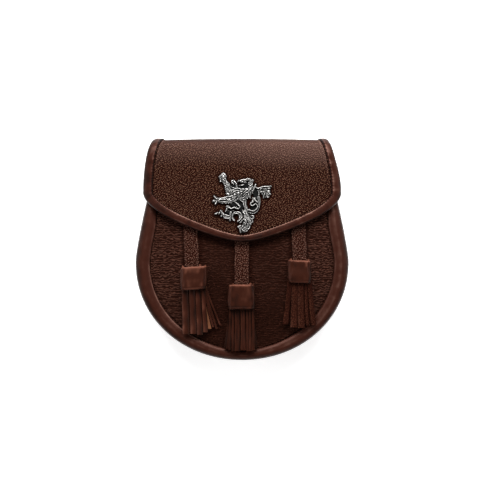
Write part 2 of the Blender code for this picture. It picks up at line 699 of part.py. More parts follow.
def snap_stud():
    """The press stud between the front panel and the flap, closed."""
    low = front_z(0.0, STUD_Y) + GAP + 0.1 * MM
    high = FLAP_Z - LEATHER / 2 - GAP
    sections = []
    for level in STUD_LEVELS:
        radius = STUD_RADIUS * level.radius_share
        z = low + (high - low) * level.share
        turns = [tau * i / 16 for i in range(16)]
        sections.append([(radius * cos(t), STUD_Y + radius * sin(t), z) for t in turns])
    return sweep_solid("snap_stud", sections, NICKEL)


def ring_tab(name, x):
    """A strap folded round the D-ring's bar, both ends sewn to the back panel."""
    upper_z = BACK_RISE - GAP - TAB_LEATHER / 2
    lower_z = upper_z - TAB_LEATHER - GAP
    path = [Vector((TAB_START_Y, upper_z)), Vector((RING_BAR_Y - TAB_LEAVES_BAR, upper_z))]
    for i in range(9):
        turn = pi / 2 - TAB_TURN * i / 8
        path.append(Vector((RING_BAR_Y + LOOP_RADIUS * cos(turn), LOOP_Z + LOOP_RADIUS * sin(turn))))
    back_y = RING_BAR_Y - 1.1 * TAB_LEAVES_BAR
    path += [Vector((back_y, lower_z)), Vector((TAB_START_Y, lower_z))]
    half = TAB_LEATHER / 2
    sections = []
    for middle, normal in zip(path, inward_normals(path)):
        near, far = middle + normal * half, middle - normal * half
        left, right = x - TAB_WIDTH / 2, x + TAB_WIDTH / 2
        sections.append([(left, *near), (right, *near), (right, *far), (left, *far)])
    return sweep_solid(name, sections, PLAIN)


def d_ring(name, x):
    """A D of round wire: a straight bar, small corners and a half-round bow."""
    straight = RING_HALF_WIDTH - RING_CORNER
    path = []
    for i in range(4):
        turn = -pi / 2 + pi / 2 * i / 3
        path.append((straight + RING_CORNER * cos(turn), RING_CORNER * (1 + sin(turn))))
    for i in range(11):
        turn = pi * i / 10
        path.append((RING_HALF_WIDTH * cos(turn), RING_BOW_Y + RING_HALF_WIDTH * sin(turn)))
    for i in range(4):
        turn = pi + pi / 2 * i / 3
        path.append((-straight + RING_CORNER * cos(turn), RING_CORNER * (1 + sin(turn))))
    curve = bpy.data.curves.new(name, "CURVE")
    curve.dimensions = "3D"
    curve.bevel_depth = RING_WIRE
    curve.bevel_resolution = 2
    spline = curve.splines.new("POLY")
    spline.points.add(len(path) - 1)
    for point, (across, up) in zip(spline.points, path):
        point.co = (across, up, 0.0, 1.0)
    spline.use_cyclic_u = True
    curve.materials.append(material(NICKEL))
    ring = bpy.data.objects.new(name, curve)
    ring.location = (x, RING_BAR_Y, LOOP_Z)
    bpy.context.scene.collection.objects.link(ring)
    return ring


def main():
    clear_scene()
    back_panel()
    gusset()
    front_panel()
    front_binding()
    flap()
    flap_binding()
    for tassel in TASSELS:
        hanger(tassel)
        tassel_solid(tassel)
    badge()
    snap_stud()
    for side, x in (("left", -RING_X), ("right", RING_X)):
        ring_tab("ring_tab_" + side, x)
        d_ring("d_ring_" + side, x)


main()
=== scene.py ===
"""Looks of a leather day sporran that lies on its back on a pale floor.

Metres. Seen from the front, +X is to the right, +Y is up to the fold of the flap and +Z comes out
of the front. Each sub-assembly is a class that builds its meshes and dresses them, and each finish
is a frozen dataclass that makes its material once.
"""

from __future__ import annotations

import logging
from collections.abc import Callable, Sequence
from dataclasses import dataclass, field
from enum import Enum
from math import cos, pi, radians, sin, tau
from typing import Any

import bmesh
import bpy
import numpy as np
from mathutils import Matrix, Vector


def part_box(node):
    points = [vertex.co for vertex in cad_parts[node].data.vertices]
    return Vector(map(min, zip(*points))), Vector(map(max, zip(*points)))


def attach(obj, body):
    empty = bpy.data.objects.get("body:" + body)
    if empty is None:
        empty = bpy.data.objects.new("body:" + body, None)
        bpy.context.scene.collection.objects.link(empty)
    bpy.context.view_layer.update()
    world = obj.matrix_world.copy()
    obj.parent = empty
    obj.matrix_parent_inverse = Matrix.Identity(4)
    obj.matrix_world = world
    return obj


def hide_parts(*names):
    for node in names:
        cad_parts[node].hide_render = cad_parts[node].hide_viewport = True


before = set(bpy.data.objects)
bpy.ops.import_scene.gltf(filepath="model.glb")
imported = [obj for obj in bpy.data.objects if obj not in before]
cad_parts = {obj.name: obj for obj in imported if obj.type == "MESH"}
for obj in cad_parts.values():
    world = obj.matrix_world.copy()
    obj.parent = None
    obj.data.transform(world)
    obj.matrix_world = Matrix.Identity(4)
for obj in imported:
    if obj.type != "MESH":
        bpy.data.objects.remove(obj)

LOG = logging.getLogger("sporran")
MM = 0.001
BODY = "root"
GAP = 0.3 * MM
Colour = tuple[float, float, float, float]
Direction = tuple[float, float, float]
Profile = tuple[tuple[float, ...], tuple[float, ...]]


# --- Node graphs -----------------------------------------------------------------------------


class Wire:
    """A node's output, used in Python expressions that add Math nodes."""

    def __init__(self, graph: Graph, socket: bpy.types.NodeSocket) -> None:
        """Holds the output socket and the graph that it belongs to."""
        self.graph = graph
        self.socket = socket

    def _math(self, operation: str, *values: Wire | float) -> Wire:
        """The result of a Math node on these values."""
        return self.graph.wire("ShaderNodeMath", dict(enumerate(values)), operation=operation)

    def __add__(self, other: Wire | float) -> Wire:
        """This value plus another."""
        return self._math("ADD", self, other)

    def __mul__(self, other: Wire | float) -> Wire:
        """This value times another."""
        return self._math("MULTIPLY", self, other)

    def __sub__(self, other: Wire | float) -> Wire:
        """This value minus another."""
        return self._math("SUBTRACT", self, other)

    def __rsub__(self, other: float) -> Wire:
        """A number minus this value."""
        return self._math("SUBTRACT", other, self)

    __radd__ = __add__
    __rmul__ = __mul__


class Graph:
    """A node tree, of a material or of Geometry Nodes, that grows by expressions."""

    def __init__(self, tree: bpy.types.NodeTree) -> None:
        """Wraps the tree."""
        self.tree = tree

    def node(self, kind: str, inputs: dict | None = None, **settings: Any) -> bpy.types.Node:
        """Adds a node of any type.

        Args:
            kind: The node's type.
            inputs: Values or wires of its sockets, by name or number.
            settings: Its properties.

        Returns:
            The new node.
        """
        made = self.tree.nodes.new(kind)
        for name, value in settings.items():
            setattr(made, name, value)
        for key, value in (inputs or {}).items():
            if isinstance(value, Wire):
                self.tree.links.new(value.socket, made.inputs[key])
            else:
                made.inputs[key].default_value = value
        return made

    def wire(
        self, kind: str, inputs: dict | None = None, output: str | int = 0, **settings: Any
    ) -> Wire:
        """Adds a node and gives one of its outputs, with node()'s arguments."""
        return Wire(self, self.node(kind, inputs, **settings).outputs[output])

    def vector(self, operation: str, *values: Wire | Direction) -> Wire:
        """The result of a Vector Math node on these values."""
        return self.wire("ShaderNodeVectorMath", dict(enumerate(values)), operation=operation)

    def mix(self, share: Wire | float, low: Wire | Colour, high: Wire | Colour) -> Wire:
        """Colour between two colours: low where share is 0, high where it is 1."""
        # A Mix node has sockets of the same names for each type: these are the ones for colours
        return self.wire("ShaderNodeMix", {0: share, 6: low, 7: high}, 2, data_type="RGBA")

    def band(self, value: Wire, low: float, high: float) -> Wire:
        """0 where a value is below low, 1 above high, with a smooth step between them."""
        inputs = {"Value": value, "From Min": low, "From Max": high}
        return self.wire("ShaderNodeMapRange", inputs, interpolation_type="SMOOTHSTEP")

    def noise(self, at: Wire, cell: float, detail: float = 2.0, output: str = "Fac") -> Wire:
        """Smooth noise whose lumps are about one cell wide: grey, or coloured from "Color"."""
        inputs = {"Vector": at, "Scale": 1.0 / cell, "Detail": detail}
        return self.wire("ShaderNodeTexNoise", inputs, output)

    def attribute(self, name: str) -> Wire:
        """A mesh attribute, in a material."""
        return self.wire("ShaderNodeAttribute", output="Fac", attribute_name=name)

    def stored(self, name: str, kind: str) -> Wire:
        """A mesh attribute, in Geometry Nodes."""
        return self.wire("GeometryNodeInputNamedAttribute", {"Name": name}, data_type=kind)

    def ramp(self, value: Wire, stops: Sequence[tuple[float, Colour]]) -> Wire:
        """Colour of a value on a ramp of (place, colour) stops."""
        made = self.node("ShaderNodeValToRGB", {"Fac": value})
        elements = made.color_ramp.elements
        while len(elements) < len(stops):
            elements.new(1.0)
        for element, (place, colour) in zip(elements, stops):
            element.position = place
            element.color = colour
        return Wire(self, made.outputs["Color"])


def pebbles(graph: Graph, at: Wire, turn: Wire | float, wander: Wire | Direction) -> Wire:
    """Height of pebbled grain, the same in a material and in Geometry Nodes.

    Args:
        graph: The graph that the nodes go to.
        at: Flat coordinates in which a pebble is about 1 wide.
        turn: Angle that the pebbles' rows are turned by.
        wander: How far the pebbles stray from even rows, along each axis.

    Returns:
        0 in the creases and 1 on the tops.
    """
    stray = graph.noise(at, 1.5, detail=1.0, output="Color")
    inputs = {"Vector": graph.vector("MULTIPLY_ADD", stray, wander, at), "Angle": turn}
    turned = graph.wire("ShaderNodeVectorRotate", inputs, rotation_type="Z_AXIS")
    inputs = {"Vector": turned, "Scale": 1.15, "Randomness": 0.8, "Smoothness": 0.22}
    settings = {"feature": "SMOOTH_F1", "voronoi_dimensions": "2D"}
    away = graph.wire("ShaderNodeTexVoronoi", inputs, **settings)
    return 1.0 - graph.band(away, 0.05, 0.56)


# --- Finishes --------------------------------------------------------------------------------


def tint(red: float, green: float, blue: float) -> Colour:
    """A screen colour, 0 to 255, as linear light."""
    linear = [((channel / 255 + 0.055) / 1.055) ** 2.4 for channel in (red, green, blue)]
    return (linear[0], linear[1], linear[2], 1.0)


@dataclass(frozen=True)
class Finish:
    """What all finishes share: a name, a slot name and a material made once."""

    name: str
    slot: str | None

    def shade(self, graph: Graph, at: Wire) -> Wire:
        """The shader of this finish, at object coordinates."""
        raise NotImplementedError

    def material(self) -> bpy.types.Material:
        """The finish's material."""
        made = bpy.data.materials.get(self.name)
        if made is None:
            made = bpy.data.materials.new(self.name)
            made.use_nodes = True
            made.node_tree.nodes.clear()
            graph = Graph(made.node_tree)
            shader = self.shade(graph, graph.wire("ShaderNodeTexCoord", output="Object"))
            graph.node("ShaderNodeOutputMaterial", {"Surface": shader})
        return made


# Leather reflects light in its own warm colour, and more so where it is waxed than polished
WAX = {"Specular IOR Level": 0.2, "Specular Tint": (1.0, 0.34, 0.2, 1.0)}
POLISH = {"Specular IOR Level": 0.22, "Specular Tint": (1.0, 0.56, 0.45, 1.0)}


def surface(graph: Graph, inputs: dict[str, Any], height: Wire, depth: float) -> Wire:
    """A Principled shader with a bump whose height of 1 stands for a depth in metres."""
    bump = graph.wire("ShaderNodeBump", {"Height": height, "Distance": depth})
    return graph.wire("ShaderNodeBsdfPrincipled", inputs | {"Normal": bump})


@dataclass(frozen=True)
class GrainedLeather(Finish):
    """Pebbled leather: rounded tops between dark creases, pulled longer across where it is bent."""

    # The dark colour fills the creases, partly the leather's own colour and partly painted shade;
    # the light colour is a painted highlight on the pebbles' tops; the sheen colour is a painted
    # sheen, mixed in where the tone attribute paints light
    dark: Colour = tint(22, 4, 1)
    base: Colour = tint(51, 18, 7)
    light: Colour = tint(117, 88, 70)
    painted_sheen: Colour = tint(120, 92, 82)
    cell: float = 1.55 * MM
    pull: Direction = (0.8, 1.1, 1.0)
    wander: Direction = (0.6, 0.6, 0.6)
    turn: float = 0.65
    relief: float = 1.0 * MM

    def shade(self, graph: Graph, at: Wire) -> Wire:
        """Grain, pores and slow changes of tone, which a smooth stretch of leather loses."""
        tone = graph.attribute("tone")
        spread = tuple(share / self.cell for share in self.pull)
        raised = self.raised(graph, graph.vector("MULTIPLY", at, spread))
        grain = raised * (1.0 - 0.85 * graph.attribute("stretch"))
        pores = graph.noise(at, 0.5 * MM, detail=3.0)
        cloud = graph.noise(at, 24.0 * MM)
        # Painted shade in the creases and a painted highlight on the pebbles' tops
        colour = graph.mix(graph.band(grain, 0.0, 0.5), self.dark, self.base)
        colour = graph.mix(graph.band(grain, 0.4, 0.95) * 0.8, colour, self.light)
        colour = graph.mix(graph.band(cloud, 0.3, 0.7) * 0.15, colour, self.dark)
        # The tone attribute carries painted light and shade besides tone that differs at random:
        # above 0.5 it mixes in the painted sheen, most on the tops and on stretched leather, and
        # below 0.5 it darkens towards the dark colour
        tops = 0.35 + 0.65 * (grain + graph.attribute("stretch"))
        colour = graph.mix(graph.band(tone, 0.5, 1.0) * tops, colour, self.painted_sheen)
        colour = graph.mix(1.0 - graph.band(tone, 0.0, 0.5), colour, self.dark)
        inputs = {"Base Color": colour, "Roughness": 0.78 - 0.48 * grain + 0.1 * pores}
        return surface(graph, inputs | WAX, grain + 0.16 * pores, self.relief)

    def raised(self, graph: Graph, at: Wire) -> Wire:
        """Height of the grain, at coordinates in which a pebble is about 1 wide."""
        return pebbles(graph, at, self.turn, self.wander)


@dataclass(frozen=True)
class CreasedLeather(GrainedLeather):
    """Grained leather whose pebbles are drawn out into fine wavy creases."""

    waviness: float = 7.5

    def raised(self, graph: Graph, at: Wire) -> Wire:
        """Height between the creases, at coordinates in which one is about 1 wide."""
        inputs = {"Vector": at, "Scale": 0.314, "Distortion": self.waviness}
        inputs |= {"Detail": 1.0, "Detail Scale": 2.4, "Detail Roughness": 0.6}
        creases = graph.wire("ShaderNodeTexWave", inputs, "Fac", bands_direction="Y")
        lumps = graph.noise(at, 1.0, detail=1.0)
        return graph.band(creases + 0.35 * (lumps - 0.5), 0.3, 1.0)


@dataclass(frozen=True)
class SmoothLeather(Finish):
    """Smooth leather with pulled-up streaks and pores; its tone attribute paints highlights towards
    the light colour and shade towards the dark one.
    """

    dark: Colour = tint(18, 7, 5)
    base: Colour = tint(47, 20, 14)
    light: Colour = tint(104, 62, 50)
    streak: Direction = (1.0, 1.0, 1.0)

    def shade(self, graph: Graph, at: Wire) -> Wire:
        """Streaks and tone over fine pores."""
        tone = graph.attribute("tone")
        drawn = graph.vector("MULTIPLY", at, self.streak)
        streaks = graph.noise(drawn, 3.4 * MM, detail=4.0)
        cloud = graph.noise(at, 14.0 * MM)
        pores = graph.noise(at, 0.4 * MM)
        # The tone attribute carries painted highlights and painted shade, besides the piece's own
        # tone
        shade = tone + 0.42 * (streaks - 0.5) + 0.3 * (cloud - 0.5)
        colour = graph.mix(graph.band(shade, 0.05, 0.5), self.dark, self.base)
        colour = graph.mix(graph.band(shade, 0.5, 1.05), colour, self.light)
        inputs = {"Base Color": colour, "Roughness": 0.38 + 0.12 * pores - 0.08 * streaks}
        return surface(graph, inputs | POLISH, 0.4 * pores + streaks, 0.1 * MM)


@dataclass(frozen=True)
class FleshSide(Finish):
    """The brushed flesh side and the cut edges of leather."""

    dark: Colour = tint(60, 34, 23)
    light: Colour = tint(122, 80, 56)

    def shade(self, graph: Graph, at: Wire) -> Wire:
        """Short matted fibres."""
        combed = graph.vector("MULTIPLY", at, (1.0, 0.35, 1.0))
        fibres = graph.noise(combed, 0.5 * MM, detail=4.0)
        cloud = graph.noise(at, 6.0 * MM)
        colour = graph.mix(0.6 * fibres + 0.4 * cloud, self.dark, self.light)
        inputs = {"Base Color": colour, "Roughness": 0.9 - 0.1 * fibres}
        return surface(graph, inputs | WAX, fibres, 0.12 * MM)


@dataclass(frozen=True)
class Thread(Finish):
    """Waxed thread."""

    dark: Colour = tint(6, 3, 3)
    light: Colour = tint(16, 9, 7)

    def shade(self, graph: Graph, at: Wire) -> Wire:
        """Twisted strands, seen as fine lines."""
        strands = graph.noise(at, 0.25 * MM)
        colour = graph.mix(strands, self.dark, self.light)
        inputs = {"Base Color": colour, "Roughness": 0.6 + 0.1 * strands}
        return surface(graph, inputs | WAX, strands, 0.08 * MM)


@dataclass(frozen=True)
class Pewter(Finish):
    """Cast metal, polished on its tops and blackened in its recesses."""

    bright: Colour = tint(200, 198, 195)
    black: Colour = tint(5, 5, 5)

    def shade(self, graph: Graph, at: Wire) -> Wire:
        """Oxide wherever the cavity attribute and a fine noise say that polish didn't reach."""
        cavity = graph.attribute("cavity")
        speckle = graph.noise(at, 0.7 * MM, detail=4.0)
        oxide = graph.band(cavity + 0.3 * (speckle - 0.5), 0.34, 0.66)
        colour = graph.mix(oxide, self.bright, self.black)
        inputs = {
            "Base Color": colour,
            "Metallic": 1.0 - 0.95 * oxide,
            "Roughness": 0.34 + 0.34 * oxide + 0.12 * speckle,
            "Specular IOR Level": 0.2,
        }
        return surface(graph, inputs, speckle, 0.07 * MM)


@dataclass(frozen=True)
class Plating(Finish):
    """Nickel plate with fine scratches."""

    bright: Colour = tint(205, 203, 198)
    dull: Colour = tint(168, 164, 156)

    def shade(self, graph: Graph, at: Wire) -> Wire:
        """Polished metal with haze and scratches."""
        brushed = graph.vector("MULTIPLY", at, (0.25, 1.0, 1.0))
        scratches = graph.noise(brushed, 0.5 * MM, detail=4.0)
        haze = graph.noise(at, 4.0 * MM)
        colour = graph.mix(0.5 * haze, self.bright, self.dull)
        inputs = {"Base Color": colour, "Metallic": 1.0, "Roughness": 0.16 + 0.2 * scratches}
        return surface(graph, inputs, scratches, 0.02 * MM)


@dataclass(frozen=True)
class Paper(Finish):
    """The pale floor, lit a little from below like a light table."""

    dull: Colour = tint(243, 243, 243)
    bright: Colour = tint(247, 247, 247)
    glow: float = 0.7

    def shade(self, graph: Graph, at: Wire) -> Wire:
        """White paper with a faint tooth."""
        tooth = graph.noise(at, 1.5 * MM)
        colour = graph.mix(tooth, self.dull, self.bright)
        inputs = {"Base Color": colour, "Roughness": 0.9, "Emission Color": colour}
        return surface(graph, inputs | {"Emission Strength": self.glow}, tooth, 0.02 * MM)


class Finishes(Enum):
    """Every finish of the pouch and of the studio."""

    FLAP = GrainedLeather("grained_flap_leather", "grained_leather")
    PANEL = CreasedLeather(
        "grained_panel_leather",
        "grained_leather",
        dark=tint(17, 4, 1),
        base=tint(29, 10, 3),
        light=tint(73, 48, 40),
        cell=2.0 * MM,
        pull=(0.62, 1.0, 1.0),
        relief=0.4 * MM,
    )
    STRAP = GrainedLeather(
        "grained_strap_leather",
        "grained_leather",
        dark=tint(28, 8, 3),
        base=tint(56, 25, 15),
        light=tint(120, 90, 78),
        cell=1.5 * MM,
        turn=0.3,
        relief=0.8 * MM,
    )
    STRIP = GrainedLeather(
        "grained_strip_leather",
        "smooth_leather",
        base=tint(46, 20, 12),
        light=tint(60, 34, 24),
        painted_sheen=tint(80, 52, 42),
        cell=1.5 * MM,
        turn=1.1,
        relief=0.15 * MM,
    )
    BINDING = SmoothLeather(
        "smooth_binding_leather",
        "smooth_leather",
        dark=tint(17, 6, 4),
        base=tint(50, 23, 16),
        light=tint(120, 88, 77),
        streak=(0.5, 0.5, 1.0),
    )
    TASSEL = SmoothLeather(
        "smooth_tassel_leather",
        "smooth_leather",
        dark=tint(18, 7, 4),
        base=tint(47, 21, 13),
        light=tint(106, 64, 50),
        streak=(1.0, 0.3, 1.0),
    )
    BACK = SmoothLeather(
        "plain_back_leather", "plain_leather", base=tint(54, 29, 21), light=tint(90, 56, 44)
    )
    FLESH = FleshSide("leather_flesh_side", "plain_leather")
    THREAD = Thread("waxed_thread", "smooth_leather")
    BADGE = Pewter("blackened_pewter", "antique_pewter")
    NICKEL = Plating("nickel_plate", "nickel")
    FLOOR = Paper("pale_paper", None)


# --- Meshes ----------------------------------------------------------------------------------


@dataclass
class Shell:
    """Points and faces of closed meshes, with a finish for each face and values for each point."""

    points: np.ndarray
    faces: list[list[int]]
    finish_numbers: list[int] = field(default_factory=list)
    values: dict[str, np.ndarray] = field(default_factory=dict)

    def __post_init__(self) -> None:
        """Gives every face the first finish where none is said."""
        if not self.finish_numbers:
            self.finish_numbers = [0] * len(self.faces)

    def set_front(self, name: str, amounts: np.ndarray, elsewhere: float = 0.0) -> None:
        """Stores a value for each point of the front, which come first, and one for all others."""
        others = np.full(len(self.points) - amounts.size, elsewhere)
        self.values[name] = np.concatenate([amounts.ravel(), others])


def joined(shells: Sequence[Shell]) -> Shell:
    """All the shells as one, which keeps their faces, finishes and values."""
    points: list[np.ndarray] = []
    faces: list[list[int]] = []
    numbers: list[int] = []
    start = 0
    for shell in shells:
        points.append(shell.points)
        faces += [[start + corner for corner in face] for face in shell.faces]
        numbers += shell.finish_numbers
        start += len(shell.points)
    names = set().union(*(shell.values for shell in shells))
    values = {
        name: np.concatenate([s.values.get(name, np.zeros(len(s.points))) for s in shells])
        for name in names
    }
    return Shell(np.concatenate(points), faces, numbers, values)


def ease(value: np.ndarray | float, low: float, high: float) -> np.ndarray:
    """0 below low, 1 above high, and an S-curve between them."""
    t = np.clip((np.asarray(value, float) - low) / (high - low), 0.0, 1.0)
    return t * t * (3.0 - 2.0 * t)


def bell(value: np.ndarray, middle: float, width: float) -> np.ndarray:
    """1 at the middle, falling to 0 within about two widths on both sides."""
    return np.exp(-(((value - middle) / width) ** 2))


def squared(wave: np.ndarray, power: float) -> np.ndarray:
    """A sine or cosine pushed towards -1 and 1, which makes a circle into a rounded square."""
    return np.sign(wave) * np.abs(wave) ** power


def ripple(x: np.ndarray | float, y: np.ndarray | float, cell: float, seed: int) -> np.ndarray:
    """Smooth noise from -1 to 1 over a plane, with bumps about one cell wide."""
    table = np.random.default_rng(seed).uniform(-1.0, 1.0, (64, 64))
    u, v = np.broadcast_arrays(np.asarray(x, float) / cell + 32, np.asarray(y, float) / cell + 32)
    i, j = np.floor(u).astype(int), np.floor(v).astype(int)
    across, up = ease(u - i, 0.0, 1.0), ease(v - j, 0.0, 1.0)
    i, j = i % 63, j % 63
    low = table[i, j] * (1 - across) + table[i + 1, j] * across
    high = table[i, j + 1] * (1 - across) + table[i + 1, j + 1] * across
    return low * (1 - up) + high * up


def resample(path: np.ndarray, count: int) -> np.ndarray:
    """Points equally spaced along a path, in any number of dimensions."""
    steps = np.linalg.norm(np.diff(path, axis=0), axis=1)
    length = np.concatenate([[0.0], np.cumsum(steps)])
    wanted = np.linspace(0.0, length[-1], count)
    return np.stack([np.interp(wanted, length, column) for column in path.T], axis=1)


def smooth_curve(
    points: Sequence[Sequence[float]], per_step: int, closed: bool = False
) -> np.ndarray:
    """A Catmull-Rom curve through the points.

    Args:
        points: What the curve passes through, in any number of dimensions.
        per_step: How many points the curve has for each stretch between two of them.
        closed: Whether the curve comes back to its start.

    Returns:
        The curve's points.
    """
    knots = np.asarray(points, float)
    if closed:
        knots = np.concatenate([knots[-1:], knots, knots[:2]])
    else:
        first, last = 2 * knots[0] - knots[1], 2 * knots[-1] - knots[-2]
        knots = np.concatenate([[first], knots, [last]])
    t = (np.arange(per_step) / per_step)[:, None]
    parts = []
    for a, b, c, d in zip(knots, knots[1:], knots[2:], knots[3:]):
        bend = (2 * a - 5 * b + 4 * c - d) * t**2 + (3 * b - a - 3 * c + d) * t**3
        parts.append(0.5 * (2 * b + (c - a) * t + bend))
    if not closed:
        parts.append(knots[-2:-1])
    return np.concatenate(parts)


def inward_normals(path: np.ndarray) -> np.ndarray:
    """Normals of a flat path that runs down the left side, round the bottom and up the right."""
    along = np.gradient(path, axis=0)
    normals = np.stack([-along[:, 1], along[:, 0]], axis=1)
    return normals / np.linalg.norm(normals, axis=1, keepdims=True)


def sections(
    path: np.ndarray, normals: np.ndarray, inset: np.ndarray, z: np.ndarray
) -> np.ndarray:
    """Sections of a band along a flat path, for sweep().

    Args:
        path: Points (count, 2) of the path.
        normals: The path's normals.
        inset: Distances (count, points of one) from the path, along its normals.
        z: Heights of the same points.

    Returns:
        Array (count, points of one, 3).
    """
    flat = path[:, None, :] + normals[:, None, :] * inset[:, :, None]
    return np.concatenate([flat, z[:, :, None]], axis=2)


def sheet(front: np.ndarray, back: np.ndarray) -> Shell:
    """A closed sheet between a fine grid and a coarser one.

    Args:
        front: Grid (rows, columns, 3) of the front.
        back: Grid of the back, whose steps are each a whole number of the front's.

    Returns:
        The shell, with finish 0 on the front, 1 on the back and 2 on the rim.
    """
    faces: list[list[int]] = []
    numbers: list[int] = []
    borders = []
    start = 0
    for number, grid in enumerate((front, back)):
        rows, columns = grid.shape[:2]
        index = np.arange(rows * columns).reshape(rows, columns) + start
        quads = [index[:-1, :-1], index[:-1, 1:], index[1:, 1:], index[1:, :-1]]
        faces += np.stack(quads, axis=-1).reshape(-1, 4).tolist()
        numbers += [number] * ((rows - 1) * (columns - 1))
        sides = (index[0, :-1], index[:-1, -1], index[-1, :0:-1], index[:0:-1, 0])
        borders.append([side.tolist() for side in sides])
        start += rows * columns
    for side in range(4):
        fine = borders[0][side] + [borders[0][(side + 1) % 4][0]]
        coarse = borders[1][side] + [borders[1][(side + 1) % 4][0]]
        step = (len(fine) - 1) // (len(coarse) - 1)
        for k in range(len(coarse) - 1):
            a, b = coarse[k], coarse[k + 1]
            piece = fine[k * step : (k + 1) * step + 1]
            half = step // 2
            rim = [[piece[m], piece[m + 1], a if m < half else b] for m in range(step)]
            rim.append([a, piece[half], b])
            faces += rim
            numbers += [2] * len(rim)
    points = np.concatenate([front.reshape(-1, 3), back.reshape(-1, 3)])
    return Shell(points, faces, numbers)


def sweep(sections: np.ndarray, closed: bool = False) -> Shell:
    """A closed solid through sections.

    Args:
        sections: Array (sections, points of one, 3).
        closed: Whether the last section joins the first; otherwise both ends are capped.

    Returns:
        The shell.
    """
    count, around = sections.shape[:2]
    index = np.arange(count * around).reshape(count, around)
    ahead = np.roll(index, -1, axis=0) if closed else index[1:]
    here = index if closed else index[:-1]
    quads = [here, np.roll(here, -1, axis=1), np.roll(ahead, -1, axis=1), ahead]
    faces = np.stack(quads, axis=-1).reshape(-1, 4).tolist()
    if not closed:
        faces += [index[0].tolist(), index[-1].tolist()]
    return Shell(sections.reshape(-1, 3), faces)


def make_piece(
    name: str, shell: Shell, finishes: Sequence[Finishes], sharp: float = 40.0
) -> bpy.types.Object:
    """A mesh object with its faces turned outwards.

    Args:
        name: The piece's name.
        shell: Its closed meshes.
        finishes: The finishes that the shell's faces number.
        sharp: Angle in degrees over which an edge stays sharp.

    Returns:
        The object, at the origin.
    """
    mesh = bpy.data.meshes.new(name)
    mesh.from_pydata(shell.points.tolist(), [], shell.faces)
    for finish in finishes:
        mesh.materials.append(finish.value.material())
    numbers = [min(number, len(finishes) - 1) for number in shell.finish_numbers]
    mesh.polygons.foreach_set("material_index", numbers)
    work = bmesh.new()
    work.from_mesh(mesh)
    bmesh.ops.recalc_face_normals(work, faces=work.faces)
    work.to_mesh(mesh)
    work.free()
    values = {"tone": np.full(len(shell.points), 0.5)} | shell.values
    for label, amounts in values.items():
        set_values(mesh, label, amounts)
    mesh.shade_smooth()
    mesh.set_sharp_from_angle(angle=radians(sharp))
    made = bpy.data.objects.new(name, mesh)
    bpy.context.scene.collection.objects.link(made)
    return made


def set_values(mesh: bpy.types.Mesh, name: str, amounts: np.ndarray) -> None:
    """Stores one value for each point as an attribute."""
    kept = mesh.attributes.new(name, "FLOAT", "POINT")
    kept.data.foreach_set("value", np.asarray(amounts, np.float32))


def hand_over(piece: bpy.types.Object, finish: Finishes, *nodes: str) -> None:
    """Lets a finished piece ride on the pouch and stand for CAD nodes."""
    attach(piece, BODY)
    if nodes:
        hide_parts(*nodes)
    LOG.info("%s: %d faces, for %s", piece.name, len(piece.data.polygons), nodes or "itself")


# --- Geometry Nodes --------------------------------------------------------------------------


class Recipe:
    """A Geometry Nodes tree with named inputs, whose result becomes a plain mesh."""

    def __init__(self, name: str, inputs: dict[str, str]) -> None:
        """Starts the tree.

        Args:
            name: The tree's name.
            inputs: Its inputs' names, with their socket types.
        """
        self.tree = bpy.data.node_groups.new(name, "GeometryNodeTree")
        self.graph = Graph(self.tree)
        sockets = self.tree.interface
        sockets.new_socket("Geometry", in_out="OUTPUT", socket_type="NodeSocketGeometry")
        self.identifiers = {}
        for label, kind in ({"Geometry": "NodeSocketGeometry"} | inputs).items():
            made = sockets.new_socket(label, in_out="INPUT", socket_type=kind)
            self.identifiers[label] = made.identifier
        self.entry = self.tree.nodes.new("NodeGroupInput")

    def given(self, label: str) -> Wire:
        """One of the tree's inputs."""
        return Wire(self.graph, self.entry.outputs[label])

    def close(self, geometry: Wire, selection: Wire | bool = True) -> None:
        """Ends the tree in Realize Instances and Set Material."""
        whole = self.graph.wire("GeometryNodeRealizeInstances", {"Geometry": geometry})
        inputs = {"Geometry": whole, "Selection": selection, "Material": self.given("Finish")}
        dressed = self.graph.wire("GeometryNodeSetMaterial", inputs)
        self.graph.node("NodeGroupOutput", {"Geometry": dressed})

    def bake(self, piece: bpy.types.Object, values: dict[str, Any]) -> None:
        """Runs the tree on a piece, with these inputs by name, and keeps the result as its mesh."""
        modifier = piece.modifiers.new(self.tree.name, "NODES")
        modifier.node_group = self.tree
        for label, value in values.items():
            modifier[self.identifiers[label]] = value
        graph = bpy.context.evaluated_depsgraph_get()
        mesh = bpy.data.meshes.new_from_object(piece.evaluated_get(graph))
        piece.modifiers.remove(modifier)
        old = piece.data
        piece.data = mesh
        bpy.data.meshes.remove(old)
        mesh.name = piece.name


def stitch_recipe() -> Recipe:
    """Stitches along a line of edges whose points hold the seam's up direction."""
    floats = ("Pitch", "Stitch Length", "Thread Radius")
    sockets = dict.fromkeys(floats, "NodeSocketFloat") | {"Finish": "NodeSocketMaterial"}
    recipe = Recipe("stitches", sockets)
    graph = recipe.graph
    line = graph.wire("GeometryNodeMeshToCurve", {"Mesh": recipe.given("Geometry")})
    inputs = {"Curve": line, "Length": recipe.given("Pitch")}
    marks = graph.wire("GeometryNodeResampleCurve", inputs, mode="LENGTH")
    up = graph.stored("up", "FLOAT_VECTOR")
    axes = {"Primary Axis": graph.wire("GeometryNodeInputTangent"), "Secondary Axis": up}
    settings = {"primary_axis": "X", "secondary_axis": "Z"}
    turn = graph.wire("FunctionNodeAxesToRotation", axes, **settings)
    bead = graph.wire("GeometryNodeMeshUVSphere", {"Segments": 8, "Rings": 6, "Radius": 1.0})
    radius = recipe.given("Thread Radius")
    inputs = {"X": 0.5 * recipe.given("Stitch Length"), "Y": radius, "Z": radius}
    size = graph.wire("ShaderNodeCombineXYZ", inputs)
    inputs = {"Points": marks, "Instance": bead, "Rotation": turn, "Scale": size}
    rows = graph.wire("GeometryNodeInstanceOnPoints", inputs)
    recipe.close(graph.wire("GeometryNodeSetShadeSmooth", {"Geometry": rows}))
    return recipe


